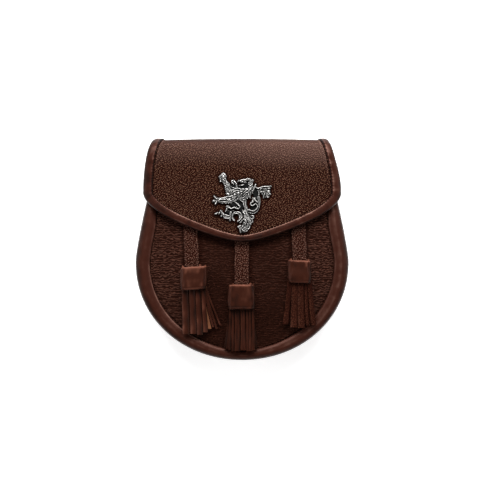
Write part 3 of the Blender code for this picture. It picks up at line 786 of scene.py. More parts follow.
def grain_recipe() -> Recipe:
    """Raises the pebbles of grained leather on the front of a sheet, its first finish."""
    sockets = dict.fromkeys(("Pebble Scale", "Wander"), "NodeSocketVector")
    sockets |= dict.fromkeys(("Turn", "Relief"), "NodeSocketFloat")
    recipe = Recipe("grain", sockets | {"Finish": "NodeSocketMaterial"})
    graph = recipe.graph
    spot = graph.wire("GeometryNodeInputPosition")
    at = graph.vector("MULTIPLY", spot, recipe.given("Pebble Scale"))
    share = graph.stored("grain", "FLOAT")
    raised = pebbles(graph, at, recipe.given("Turn"), recipe.given("Wander"))
    height = (raised - 0.5) * share * recipe.given("Relief")
    inputs = {"Vector": graph.wire("GeometryNodeInputNormal"), "Scale": height}
    push = graph.wire("ShaderNodeVectorMath", inputs, operation="SCALE")
    inputs = {"Geometry": recipe.given("Geometry"), "Offset": push}
    moved = graph.wire("GeometryNodeSetPosition", inputs)
    front = 1.0 - graph.wire("GeometryNodeInputMaterialIndex")
    recipe.close(moved, front)
    return recipe


@dataclass(frozen=True)
class Seam:
    """A row of stitches along a line on the leather."""

    name: str
    pitch: float
    length: float
    radius: float = 0.34 * MM

    def sew(self, recipe: Recipe, path: np.ndarray, up: np.ndarray | Direction) -> None:
        """Makes the stitches as one piece.

        Args:
            recipe: The tree that makes them.
            path: Points of the line.
            up: Direction away from the leather, at each point or everywhere.
        """
        mesh = bpy.data.meshes.new(self.name)
        edges = [(i, i + 1) for i in range(len(path) - 1)]
        mesh.from_pydata(path.tolist(), edges, [])
        kept = mesh.attributes.new("up", "FLOAT_VECTOR", "POINT")
        kept.data.foreach_set("vector", np.broadcast_to(up, path.shape).astype(np.float32).ravel())
        row = bpy.data.objects.new(self.name, mesh)
        bpy.context.scene.collection.objects.link(row)
        values = {
            "Pitch": self.pitch,
            "Stitch Length": self.length,
            "Thread Radius": self.radius,
            "Finish": Finishes.THREAD.value.material(),
        }
        recipe.bake(row, values)
        hand_over(row, Finishes.THREAD)

    def pull(self, along: np.ndarray) -> np.ndarray:
        """1 at each stitch and -1 halfway between two, at lengths along the seam."""
        return np.cos(tau * along / self.pitch)


# --- Forms -----------------------------------------------------------------------------------


@dataclass(frozen=True)
class PouchForm:
    """The pouch's outline and heights, which every piece on it follows."""

    half_width: float = 90.5 * MM
    half_width_top: float = 70.5 * MM
    widest_y: float = -11.0 * MM
    bottom_y: float = -93.9 * MM
    top_y: float = 92.0 * MM
    mouth_y: float = 72.0 * MM
    back_top_y: float = 80.0 * MM
    roundness: float = 2.05
    taper_softness: float = 0.12
    leather: float = 2.0 * MM
    back_rise: float = 6.2 * MM
    front_edge_z: float = 27.5 * MM
    dome: float = 3.5 * MM
    dome_power: float = 2.6
    mouth_drop: float = 5.0 * MM
    binding_side: float = 12.6 * MM
    binding_bottom: float = 7.8 * MM

    def width_at(self, y: np.ndarray | float) -> np.ndarray:
        """Half of the pouch's width at a height on it."""
        y = np.asarray(y, float)
        below = np.clip((self.widest_y - y) / (self.widest_y - self.bottom_y), 0.0, 1.0)
        round_width = (1.0 - below**self.roundness) ** (1.0 / self.roundness)
        above = np.clip((y - self.widest_y) / (self.top_y - self.widest_y), 0.0, 1.2)
        taper = above**2 * (1.0 + self.taper_softness) / (above + self.taper_softness)
        return self.half_width * round_width - (self.half_width - self.half_width_top) * taper

    def outline(self, top_y: float, count: int) -> np.ndarray:
        """The outline from the left end of the mouth round the bottom to its right end."""
        side = np.linspace(top_y, self.widest_y, 60, endpoint=False)
        turn = np.sin(np.linspace(0.0, pi / 2, 240))
        y = np.concatenate([side, self.widest_y + (self.bottom_y - self.widest_y) * turn])
        left = np.stack([-self.width_at(y), y], axis=1)
        return resample(np.concatenate([left, left[-2::-1] * (-1.0, 1.0)]), count)

    def edge_z(self, y: np.ndarray | float) -> np.ndarray:
        """Height of the front panel's edge, which sinks towards the mouth."""
        return self.front_edge_z - self.mouth_drop * ease(y, 15 * MM, self.mouth_y)

    def reach(self, x: np.ndarray | float, y: np.ndarray | float) -> np.ndarray:
        """0 in the middle of the pouch and 1 on its outline."""
        x, y = np.abs(np.asarray(x, float)), np.asarray(y, float)
        above = np.minimum(1.0, x / np.maximum(self.width_at(y), 1e-6))
        down = np.clip((self.widest_y - y) / (self.widest_y - self.bottom_y), 0.0, 1.0)
        whole = (x / self.half_width) ** self.roundness + down**self.roundness
        return np.where(y > self.widest_y, above, np.minimum(1.0, whole ** (1 / self.roundness)))

    def front_z(self, x: np.ndarray | float, y: np.ndarray | float) -> np.ndarray:
        """Outer face of the domed front panel."""
        return self.edge_z(y) + self.dome * (1.0 - self.reach(x, y) ** self.dome_power)

    def back_z(self, y: np.ndarray | float) -> np.ndarray:
        """Outer face of the back panel: flat below, lifted over the ring tabs at the top."""
        return self.back_rise * ease(y, 8 * MM, 48 * MM)

    def binding_width(self, path: np.ndarray, normals: np.ndarray) -> np.ndarray:
        """Width of the front binding, narrower at the bottom and under the flap."""
        extra = (self.binding_side - self.binding_bottom) * np.abs(normals[:, 0]) ** 0.6
        return (self.binding_bottom + extra) * (1.0 - 0.3 * ease(path[:, 1], 20 * MM, 45 * MM))

    def span(
        self,
        top_y: float,
        inset: Callable[[np.ndarray, np.ndarray], np.ndarray],
        rows: int,
        columns: int,
    ) -> tuple[np.ndarray, np.ndarray]:
        """A grid that fills the outline moved inwards.

        Args:
            top_y: The straight top edge.
            inset: Distance inwards for the outline's points and normals.
            rows: Steps from the top to the bottom.
            columns: Steps across.

        Returns:
            x and y of the grid, each (rows + 1, columns + 1).
        """
        path = self.outline(top_y, 801)
        normals = inward_normals(path)
        edge = (path + normals * inset(path, normals)[:, None])[:401]
        bottom = edge[-1, 1]
        t = np.linspace(0.0, 1.0, rows + 1)
        y = top_y - (top_y - bottom) * (0.3 * t + 0.7 * np.sin(pi / 2 * t))
        half = -np.interp(-y, -edge[:, 1], edge[:, 0])
        half[-1] = 0.5 * half[-2]
        share = np.linspace(-1.0, 1.0, columns + 1)
        return share * half[:, None], np.repeat(y[:, None], columns + 1, axis=1)


@dataclass(frozen=True)
class FlapForm:
    """The flap in flat leather and folded over the top of the pouch."""

    level_z: float = 36.0 * MM
    tail_z: float = 9.5 * MM
    leather: float = 2.0 * MM
    half_width: float = 83.7 * MM
    side_y: float = 52.0 * MM
    tip_y: float = 6.6 * MM
    slope: float = 36.2 * MM
    tip_round: float = 0.27
    corner: float = 13.5 * MM
    skew: float = -0.3 * MM
    lean: float = -1.45 * MM
    droop: float = 4.5 * MM
    fold_y: float = 93.1 * MM
    fold_reach: float = 14.0 * MM
    bulge: float = 1.2 * MM
    fold_half_width: float = 73.5 * MM
    tail_half_width: float = 67.0 * MM
    tail_length: float = 18.0 * MM

    @property
    def centre_y(self) -> float:
        """Where the flap stops being level and the fold starts."""
        return self.fold_y - self.leather / 2 - self.fold_reach

    @property
    def centre_z(self) -> float:
        """Middle height of the fold."""
        return (self.level_z + self.tail_z) / 2

    @property
    def fold_radius(self) -> float:
        """Half of the fold's height."""
        return (self.level_z - self.tail_z) / 2

    @property
    def fold_length(self) -> float:
        """Leather that the fold takes."""
        return pi * (self.fold_reach + self.fold_radius) / 2

    @property
    def fold_end(self) -> float:
        """Length along the leather where the fold ends and the tail starts."""
        return self.centre_y + self.fold_length

    def side(self, s: np.ndarray | float) -> np.ndarray:
        """Half of the flap's width at a length along the leather."""
        top = self.centre_y + self.fold_length / 2
        s = np.asarray(s, float)
        rising = np.clip((s - self.side_y) / (top - self.side_y), 0.0, 1.0) ** 1.6
        falling = np.clip((s - top) / (self.fold_end - top), 0.0, 1.0)
        upper = self.half_width + (self.fold_half_width - self.half_width) * rising
        return upper + (self.tail_half_width - self.fold_half_width) * falling

    def lower_edge(self, u: np.ndarray | float) -> np.ndarray:
        """Lower edge from the tip, u = 0, to the corners, u = -1 and 1."""
        u = np.asarray(u, float)
        slope = self.slope * (np.sqrt(u * u + self.tip_round**2) - self.tip_round)
        corner = self.corner * (1.0 - np.sqrt(1.0 - np.minimum(1.0, np.abs(u)) ** 6))
        return self.tip_y + slope + corner + self.skew * u

    def outline(self, count: int) -> np.ndarray:
        """The bound edge in flat leather, from the left of the fold's back round the tip."""
        s = np.linspace(self.fold_end - 0.1 * self.fold_length, self.side_y, 80, endpoint=False)
        right = np.stack([self.side(s), s], axis=1)
        u = np.sin(np.linspace(-pi / 2, pi / 2, 601))
        lower = np.stack([u * self.half_width, self.lower_edge(u)], axis=1)
        path = np.concatenate([right * (-1.0, 1.0), lower, right[::-1]])
        return resample(path, count)

    def folded(self, x: np.ndarray, s: np.ndarray, lift: np.ndarray | float) -> np.ndarray:
        """Points of the folded flap, raised by lift from the middle of its leather."""
        x = x + self.lean * ease(s, self.side_y, 84 * MM)
        turn = np.clip((s - self.centre_y) / self.fold_length, 0.0, 1.0) * pi
        past = np.maximum(0.0, s - self.fold_end)
        droop = self.droop * (np.abs(x) / self.half_width) ** 4 * (1.0 + np.cos(turn)) / 2
        bulge = self.bulge * np.maximum(0.0, 1.0 - (x / self.fold_half_width) ** 2)
        bent_y = self.centre_y + (self.fold_reach + bulge + lift) * np.sin(turn) - past
        y = np.where(s <= self.centre_y, s, bent_y)
        z = self.centre_z + (self.fold_radius + lift) * np.cos(turn) - droop
        return np.stack([x, y, z], axis=-1)

    def waves(self, x: np.ndarray, s: np.ndarray) -> np.ndarray:
        """How far handling has bent the flap out of its plain form."""
        level = 1.0 - ease(s, 70 * MM, 95 * MM)
        return (0.35 * ripple(x, s, 34 * MM, 3) + 0.16 * ripple(x, s, 13 * MM, 4)) * MM * level


POUCH = PouchForm()
FLAP = FlapForm()


# --- Sub-assemblies --------------------------------------------------------------------------


class Recipes:
    """The Geometry Nodes trees, made once."""

    def __init__(self) -> None:
        """Makes both trees."""
        self.stitches = stitch_recipe()
        self.grain = grain_recipe()

    def emboss(self, piece: bpy.types.Object, finish: Finishes, relief: float) -> None:
        """Raises a finish's grain on a piece."""
        values = {
            "Pebble Scale": tuple(share / finish.value.cell for share in finish.value.pull),
            "Wander": finish.value.wander,
            "Turn": finish.value.turn,
            "Relief": relief,
            "Finish": finish.value.material(),
        }
        self.grain.bake(piece, values)


@dataclass
class PouchBody:
    """Back panel, gusset, front panel and the rolled binding round them."""

    recipes: Recipes
    back_steps: tuple[int, int] = (120, 120)
    back_inset: float = 2.6 * MM
    panel_steps: tuple[int, int] = (216, 220)
    coarser: int = 4
    back_seam: Seam = Seam("back_seam", 3.2 * MM, 2.3 * MM)
    back_seam_inset: float = 6.6 * MM
    front_seam: Seam = Seam("front_seam", 3.0 * MM, 2.0 * MM, 0.3 * MM)
    front_seam_share: float = 0.98
    # Middle of each tassel's strap and the height of its lower end
    straps: tuple[tuple[float, float], ...] = (
        (-42.6 * MM, -14.0 * MM),
        (-0.3 * MM, -29.0 * MM),
        (48.0 * MM, -9.0 * MM),
    )
    # Tone of the binding from its outer edge, 0, to its inner edge, 1: painted shade on the outer
    # edge, where the roll turns away, and painted highlights on its crown and inner edge
    roll_tones: Profile = (
        (0.0, 0.25, 0.5, 0.8, 0.93, 1.0),
        (0.12, 0.26, 0.58, 0.44, 0.56, 0.3),
    )

    def build(self) -> None:
        """Builds and dresses all four pieces and their seams."""
        self.back_panel()
        self.gusset()
        self.front_panel()
        self.binding()

    def back_panel(self) -> None:
        """A plain sheet with a pressed line along its edge, and the seam in that line."""

        def inset(path: np.ndarray, _: np.ndarray) -> np.ndarray:
            """Distance of the panel's edge from the outline."""
            return np.full(len(path), self.back_inset)

        top_y = POUCH.back_top_y
        x, y = POUCH.span(top_y, inset, *self.back_steps)
        groove = 0.25 * MM * bell(POUCH.reach(x, y), 0.945, 0.008)
        outer = np.stack([x, y, POUCH.back_z(y) + groove], axis=-1)
        inner = np.stack([x, y, POUCH.back_z(y) + POUCH.leather], axis=-1)
        shell = sheet(outer, inner[:: self.coarser, :: self.coarser])
        piece = make_piece("back_panel_leather", shell, (Finishes.BACK, Finishes.FLESH))
        hand_over(piece, Finishes.BACK, "back_panel")
        path = POUCH.outline(top_y, 400)
        path = path + inward_normals(path) * self.back_seam_inset
        line = np.column_stack([path, POUCH.back_z(path[:, 1]) + 0.1 * MM])
        self.back_seam.sew(self.recipes.stitches, line, (0.0, 0.0, -1.0))

    def gusset(self) -> None:
        """The side wall, pinched inwards halfway up and puckered by its seams."""
        path = POUCH.outline(POUCH.mouth_y, 360)
        low = POUCH.back_z(path[:, 1]) + POUCH.leather + GAP
        high = POUCH.edge_z(path[:, 1]) - 6.9 * MM
        share = np.linspace(0.0, 1.0, 13)
        pinch = np.interp(share, (0.0, 0.3, 0.62, 1.0), (3.2, 5.4, 6.2, 3.4)) * MM
        pucker = 0.35 * MM * ripple(np.arange(len(path))[:, None] / 9.0, share * 1.3, 1.0, 8)
        outer = pinch + pucker * np.sin(pi * share)
        inset = np.concatenate([outer, outer[:, ::-1] + 1.8 * MM], axis=1)
        level = np.concatenate([share, share[::-1]])
        z = low[:, None] + (high - low)[:, None] * level
        shell = sweep(sections(path, inward_normals(path), inset, z))
        shell.values["tone"] = 0.42 + 0.2 * np.tile(np.cos(tau * level), len(path))
        piece = make_piece("gusset_leather", shell, (Finishes.BACK,), sharp=60.0)
        hand_over(piece, Finishes.BACK, "gusset")

    def front_panel(self) -> None:
        """The grained front, creased across below the flap, its edge tucked by the seam."""

        def inset(path: np.ndarray, normals: np.ndarray) -> np.ndarray:
            """Distance of the panel's edge from the outline, inside the binding."""
            return POUCH.binding_width(path, normals) + GAP

        x, y = POUCH.span(POUCH.mouth_y, inset, *self.panel_steps)
        z = POUCH.front_z(x, y)
        rim = np.abs(np.linspace(-1.0, 1.0, x.shape[1]))
        down = (np.arange(x.shape[0]) / (x.shape[0] - 1))[:, None]
        tuck = 0.9 * MM * (ease(rim, 0.955, 1.0) + ease(down, 0.975, 1.0))
        creases = 0.13 * MM * ripple(0.25 * x, y, 1.9 * MM, 21) * ease(y, -40 * MM, 0.0)
        creases = creases * (1.0 - ease(np.abs(x), 45 * MM, 70 * MM))
        slack = 0.3 * MM * ripple(x, y, 24 * MM, 22) * (1.0 - rim**4)
        outer = np.stack([x, y, z - tuck + creases + slack], axis=-1)
        inner = np.stack([x, y, z - POUCH.leather], axis=-1)
        shell = sheet(outer, inner[:: self.coarser, :: self.coarser])
        smooth = (1.0 - ease(np.abs(x), 25 * MM, 48 * MM)) * ease(y, -12 * MM, 12 * MM)
        shell.set_front("tone", self.panel_tone_and_shade(x, y), elsewhere=0.5)
        shell.set_front("stretch", 0.35 * smooth)
        finishes = (Finishes.PANEL, Finishes.FLESH, Finishes.FLESH)
        piece = make_piece("front_panel_leather", shell, finishes)
        hand_over(piece, Finishes.PANEL, "front_panel")

    def panel_tone_and_shade(self, x: np.ndarray, y: np.ndarray) -> np.ndarray:
        """Tone of the front panel: darker low down, with painted shade over its middle, between the
        left and centre tassels and close beside the straps.
        """
        tone = 0.49 - 0.16 * bell(y, -62 * MM, 22 * MM)
        # Painted shade over the middle of the panel
        tone = tone - 0.3 * (1.0 - ease(np.abs(x), 25 * MM, 60 * MM))
        # Painted shade between the left and centre tassels
        between = bell(x, -21 * MM, 6 * MM) * (1.0 - ease(y, -30 * MM, -14 * MM))
        tone = tone - 0.22 * between
        # Painted shade close beside each strap, above its lower end
        for middle, low in self.straps:
            beside = bell(np.abs(x - middle), 6.6 * MM, 2 * MM)
            tone = tone - 0.4 * beside * ease(y, low - 2 * MM, low)
        return tone

    def binding(self) -> None:
        """The roll of smooth leather that joins the front to the gusset, with its seam."""
        # Share of the width from the outer edge, and height in mm
        roll = (
            (0.0, -3.0),
            (0.03, -0.4),
            (0.12, 1.5),
            (0.3, 2.7),
            (0.52, 3.05),
            (0.74, 2.8),
            (0.91, 2.0),
            (0.99, 1.1),
            (1.0, 0.0),
            (0.97, -2.6),
            (0.86, -5.4),
            (0.62, -6.6),
            (0.3, -6.5),
            (0.08, -5.4),
        )
        profile = smooth_curve(roll, 3, closed=True)
        path = POUCH.outline(POUCH.mouth_y, 520)
        normals = inward_normals(path)
        width = POUCH.binding_width(path, normals)
        along = np.linspace(0.0, 480.0, len(path))[:, None]
        share, height = profile[:, 0], profile[:, 1] * MM
        front = height > 0
        pull = self.front_seam.pull(along * MM) * bell(share, 1.0, 0.1)
        inset = width[:, None] * share + 0.14 * MM * pull
        wrinkle = 0.12 * ripple(along, share * 9, 7.0, 31)
        wrinkle = wrinkle + 0.07 * ripple(along, share * 9, 2.2, 32)
        top = ease(share, 0.0, 0.3) * front
        z = POUCH.edge_z(path[:, 1])[:, None] + height + wrinkle * MM * top
        shell = sweep(sections(path, normals, inset, z))
        shade = np.interp(share, *self.roll_tones)
        # Painted highlight along the inner edge at the lower left, and the right side a little
        # lighter
        highlight_corner = ease(-path[:, 0], 10 * MM, 60 * MM) * ease(-path[:, 1], 0.0, 40 * MM)
        edge = 0.36 * bell(share, 0.94, 0.04) * front
        shade = np.where(height < -1 * MM, 0.3, shade) + highlight_corner[:, None] * edge
        shade = shade + 0.07 * ease(path[:, :1], 20 * MM, 75 * MM) * front
        shell.values["tone"] = shade.ravel()
        piece = make_piece("front_binding_leather", shell, (Finishes.BINDING,), sharp=70.0)
        hand_over(piece, Finishes.BINDING, "front_binding")
        seam = path + normals * (width * self.front_seam_share)[:, None]
        line = np.column_stack([seam, POUCH.edge_z(seam[:, 1]) + 1.1 * MM])
        up = np.column_stack([normals * 0.6, np.full(len(line), 0.8)])
        self.front_seam.sew(self.recipes.stitches, line, up)


@dataclass
class Flap:
    """The grained flap and the folded strip that binds its edge."""

    recipes: Recipes
    steps: tuple[int, int] = (232, 240)
    coarser: int = 4
    seam: Seam = Seam("flap_seam", 2.7 * MM, 1.45 * MM, 0.42 * MM)
    side_width: float = 8.0 * MM
    bottom_width: float = 5.1 * MM
    sheet_inset: float = 2.2 * MM
    relief: float = 0.07 * MM
    lip_lift: float = 1.05 * MM
    # Tone of the binding from its outer edge, 0, to its inner edge, 1, with painted shade on the
    # outer edge and in the groove by the seam and painted highlights on the crown and along the lip
    lower_tones: Profile = (
        (0.0, 0.1, 0.2, 0.32, 0.6, 0.86, 0.91, 0.95, 1.0, 1.03),
        (0.0, 0.1, 0.6, 0.36, 0.34, 0.26, 0.4, 1.2, 0.8, 0.1),
    )
    side_tones: Profile = (
        (0.0, 0.25, 0.5, 0.66, 0.78, 0.88, 0.94, 0.99, 1.01),
        (0.0, 0.3, 0.4, 0.46, 0.7, 0.4, 0.05, 0.0, 0.0),
    )

    def build(self) -> None:
        """Builds and dresses the sheet, the binding and their seam."""
        self.sheet()
        self.binding()

    def sheet(self) -> None:
        """The leather from its hidden tail, over the fold and down to the tip."""
        t = np.linspace(-1.0, 1.0, self.steps[1] + 1)
        u = 0.55 * t + 0.45 * np.sin(pi / 2 * t)
        low = FLAP.lower_edge(u) + 1.06 * self.sheet_inset
        high = FLAP.fold_end + FLAP.tail_length
        share = np.linspace(1.0, 0.0, self.steps[0] + 1)[:, None]
        s = low + (high - low) * share
        x = u * (FLAP.side(s) - self.sheet_inset)
        lift = FLAP.leather / 2
        outer = FLAP.folded(x, s, lift)
        outer[..., 2] += FLAP.waves(x, s)
        inner = FLAP.folded(x, s, -lift)
        inner[..., 2] += FLAP.waves(x, s)
        shell = sheet(outer, inner[:: self.coarser, :: self.coarser])
        gap = self.gap(x, s)
        # Painted shade in the groove along the binding's inner edge, and a painted highlight on the
        # smoother margin just inside it
        groove = bell(gap, 0.3 * MM, 0.8 * MM) + (gap < 0)
        margin = bell(gap, 1.9 * MM, 0.9 * MM) * ease(s, 40 * MM, 60 * MM)
        # Painted contact shadow round the badge darkens the flap's tone
        painted_contact_shadow = Badge().painted_contact_shadow(outer[..., 0], outer[..., 1]) * (s < 75 * MM)
        stretch = ease(s, 87 * MM, 92.5 * MM)
        shell.set_front("tone", self.light(x, s) - 0.26 * groove + 0.1 * margin - 0.5 * painted_contact_shadow)
        shell.set_front("grain", (1.0 - stretch) * ease(gap, 0.2 * MM, 1.4 * MM))
        shell.set_front("stretch", np.maximum(stretch, 0.15 * margin))
        finishes = (Finishes.FLAP, Finishes.FLESH, Finishes.FLESH)
        piece = make_piece("flap_leather", shell, finishes)
        self.recipes.emboss(piece, Finishes.FLAP, self.relief)
        hand_over(piece, Finishes.FLAP, "flap")

    def light(self, x: np.ndarray, s: np.ndarray) -> np.ndarray:
        """Tone of the leather with painted light: a painted highlight just below the fold, palest
        there and more so on the right, painted shade over the top of the fold, and a little painted
        light on the right lower down.
        """
        to_right = np.clip(x / (70 * MM), -1.0, 1.0)
        tone = 0.47 + (0.29 + 0.05 * to_right) * ease(s, 62 * MM, 83 * MM)
        tone = tone - (0.16 + 0.06 * to_right) * ease(s, 87 * MM, 92 * MM)
        return tone + 0.06 * ease(to_right, -0.3, 0.5) * ease(s, 45 * MM, 60 * MM)

    def widths(self, path: np.ndarray, normals: np.ndarray) -> np.ndarray:
        """Width of the binding along its path, pulled narrower where it goes over the fold."""
        extra = (self.side_width - self.bottom_width) * np.abs(normals[:, 0]) ** 0.85
        return self.bottom_width + extra - self.tightening(path[:, 0], path[:, 1])

    def tightening(self, x: np.ndarray, s: np.ndarray) -> np.ndarray:
        """How much narrower the binding is where it goes over the fold, most at the right."""
        return np.where(x > 0, 1.3 * MM, 0.3 * MM) * ease(s, FLAP.side_y, 80 * MM)

    def gap(self, x: np.ndarray, s: np.ndarray) -> np.ndarray:
        """Distance from the binding's inner edge, in flat leather."""
        beside = FLAP.side(s) - np.abs(x) - self.side_width + self.tightening(x, s)
        u = np.clip(x / FLAP.half_width, -1.0, 1.0)
        fall = FLAP.slope / FLAP.half_width * u / np.hypot(u, FLAP.tip_round)
        above = (s - FLAP.lower_edge(u)) / np.hypot(1.0, fall) - self.bottom_width
        return np.minimum(beside, above)

    def binding(self) -> None:
        """The folded strip with a raised lip, pulled in a little by each stitch."""
        # Share of the width from the outer edge, what is added to it and height, both in mm
        channel = (
            (1.0, 0.0, 1.05),
            (1.0, 0.1, 1.75),
            (1.0, -0.45, 2.3),
            (1.0, -1.5, 2.45),
            (0.55, 0.0, 2.6),
            (0.3, 0.0, 2.45),
            (0.0, 0.8, 1.75),
            (0.0, 0.12, 0.7),
            (0.0, 0.0, -0.2),
            (0.0, 0.3, -1.3),
            (0.0, 1.2, -2.3),
            (0.5, 0.0, -2.6),
            (1.0, -1.6, -2.5),
            (1.0, -1.05, -1.9),
            (1.0, -1.2, -1.35),
            (0.45, 0.0, -1.3),
            (0.0, 1.7, -1.2),
            (0.0, 1.6, 0.0),
            (0.0, 1.7, 1.2),
            (0.45, 0.0, 1.3),
            (1.0, -0.7, 1.25),
        )
        profile = smooth_curve(channel, 2, closed=True)
        path = FLAP.outline(560)
        normals = inward_normals(path)
        level = path[:, 1] >= FLAP.centre_y
        normals[level] = np.stack([-np.sign(path[level, 0]), np.zeros(level.sum())], axis=1)
        width = self.widths(path, normals)
        steps = np.linalg.norm(np.diff(path, axis=0), axis=1)
        along = np.concatenate([[0.0], np.cumsum(steps)])[:, None]
        share, extra, lift = profile[:, 0], profile[:, 1] * MM, profile[:, 2] * MM
        pull = self.seam.pull(along) * bell(share, 1.0, 0.2) * (lift > 0)
        depth = width[:, None] * share + extra + 0.2 * MM * pull
        wrinkle = 0.1 * ripple(along, share * 6 * MM, 5 * MM, 41)
        wrinkle = wrinkle + 0.06 * ripple(along, share * 6 * MM, 2 * MM, 42)
        crown = ease(np.abs(lift), 1.0 * MM, 2.2 * MM) * np.sign(lift)
        spot = path[:, None, :] + normals[:, None, :] * depth[:, :, None]
        raised = np.broadcast_to(lift, depth.shape) + wrinkle * MM * crown
        points = FLAP.folded(spot[..., 0], spot[..., 1], raised)
        points[..., 2] += FLAP.waves(spot[..., 0], spot[..., 1])
        shell = sweep(points)
        across = share + extra / (7 * MM)
        lower_tone = np.interp(across, *self.lower_tones)
        side_tone = np.interp(across, *self.side_tones)
        upright = np.abs(normals[:, :1]) ** 2
        shade = upright * side_tone + (1.0 - upright) * lower_tone
        # Painted highlight on the lip, scalloped with the stitches
        shade = shade + 0.16 * ripple(along, share * 5 * MM, 4 * MM, 44) + 0.1 * pull
        # Lighter on the right side and darker on the left
        shade = shade + upright * np.where(normals[:, :1] < 0, 0.1, -0.07)
        # Painted highlight along the lip's rim, and darker at the tip
        rim = bell(share, 1.02, 0.09) * (lift > 0)
        tip = bell(path[:, :1], 0.0, 14 * MM)
        shade = shade + (0.17 * rim - 0.15 * tip) * (1.0 - upright)
        shade = np.where(lift < 0.5 * MM, 0.25, shade)
        shell.values["tone"] = shade.ravel()
        piece = make_piece("flap_binding_leather", shell, (Finishes.BINDING,), sharp=70.0)
        hand_over(piece, Finishes.BINDING, "flap_binding")
        spot = path + normals * (width + 0.5 * MM)[:, None]
        line = FLAP.folded(spot[:, 0], spot[:, 1], self.lip_lift + 0.2 * MM)
        line[:, 2] += FLAP.waves(spot[:, 0], spot[:, 1])
        above = FLAP.folded(spot[:, 0], spot[:, 1], self.lip_lift + 2 * MM)
        self.seam.sew(self.recipes.stitches, line, above - line)


@dataclass(frozen=True)
class Strip:
    """A cut strip of a fringe, in mm: its two ends from the middle of the wrap, and its layer."""

    start_x: float
    end_x: float
    end_y: float
    width: float
    layer: int = 1
    flesh_out: bool = False
    # Shift of tone: raises splayed strips out of the lower layer's painted shade; below 0 it is
    # painted shade
    lighter: float = 0.0


def even_strips(
    count: int, start: float, end: float, end_y: float, width: float, layer: int
) -> tuple[Strip, ...]:
    """Strips side by side, between -start and start in the wrap and -end and end below."""
    places = np.linspace(-1.0, 1.0, count)
    return tuple(Strip(start * at, end * at, end_y, width, layer) for at in places)


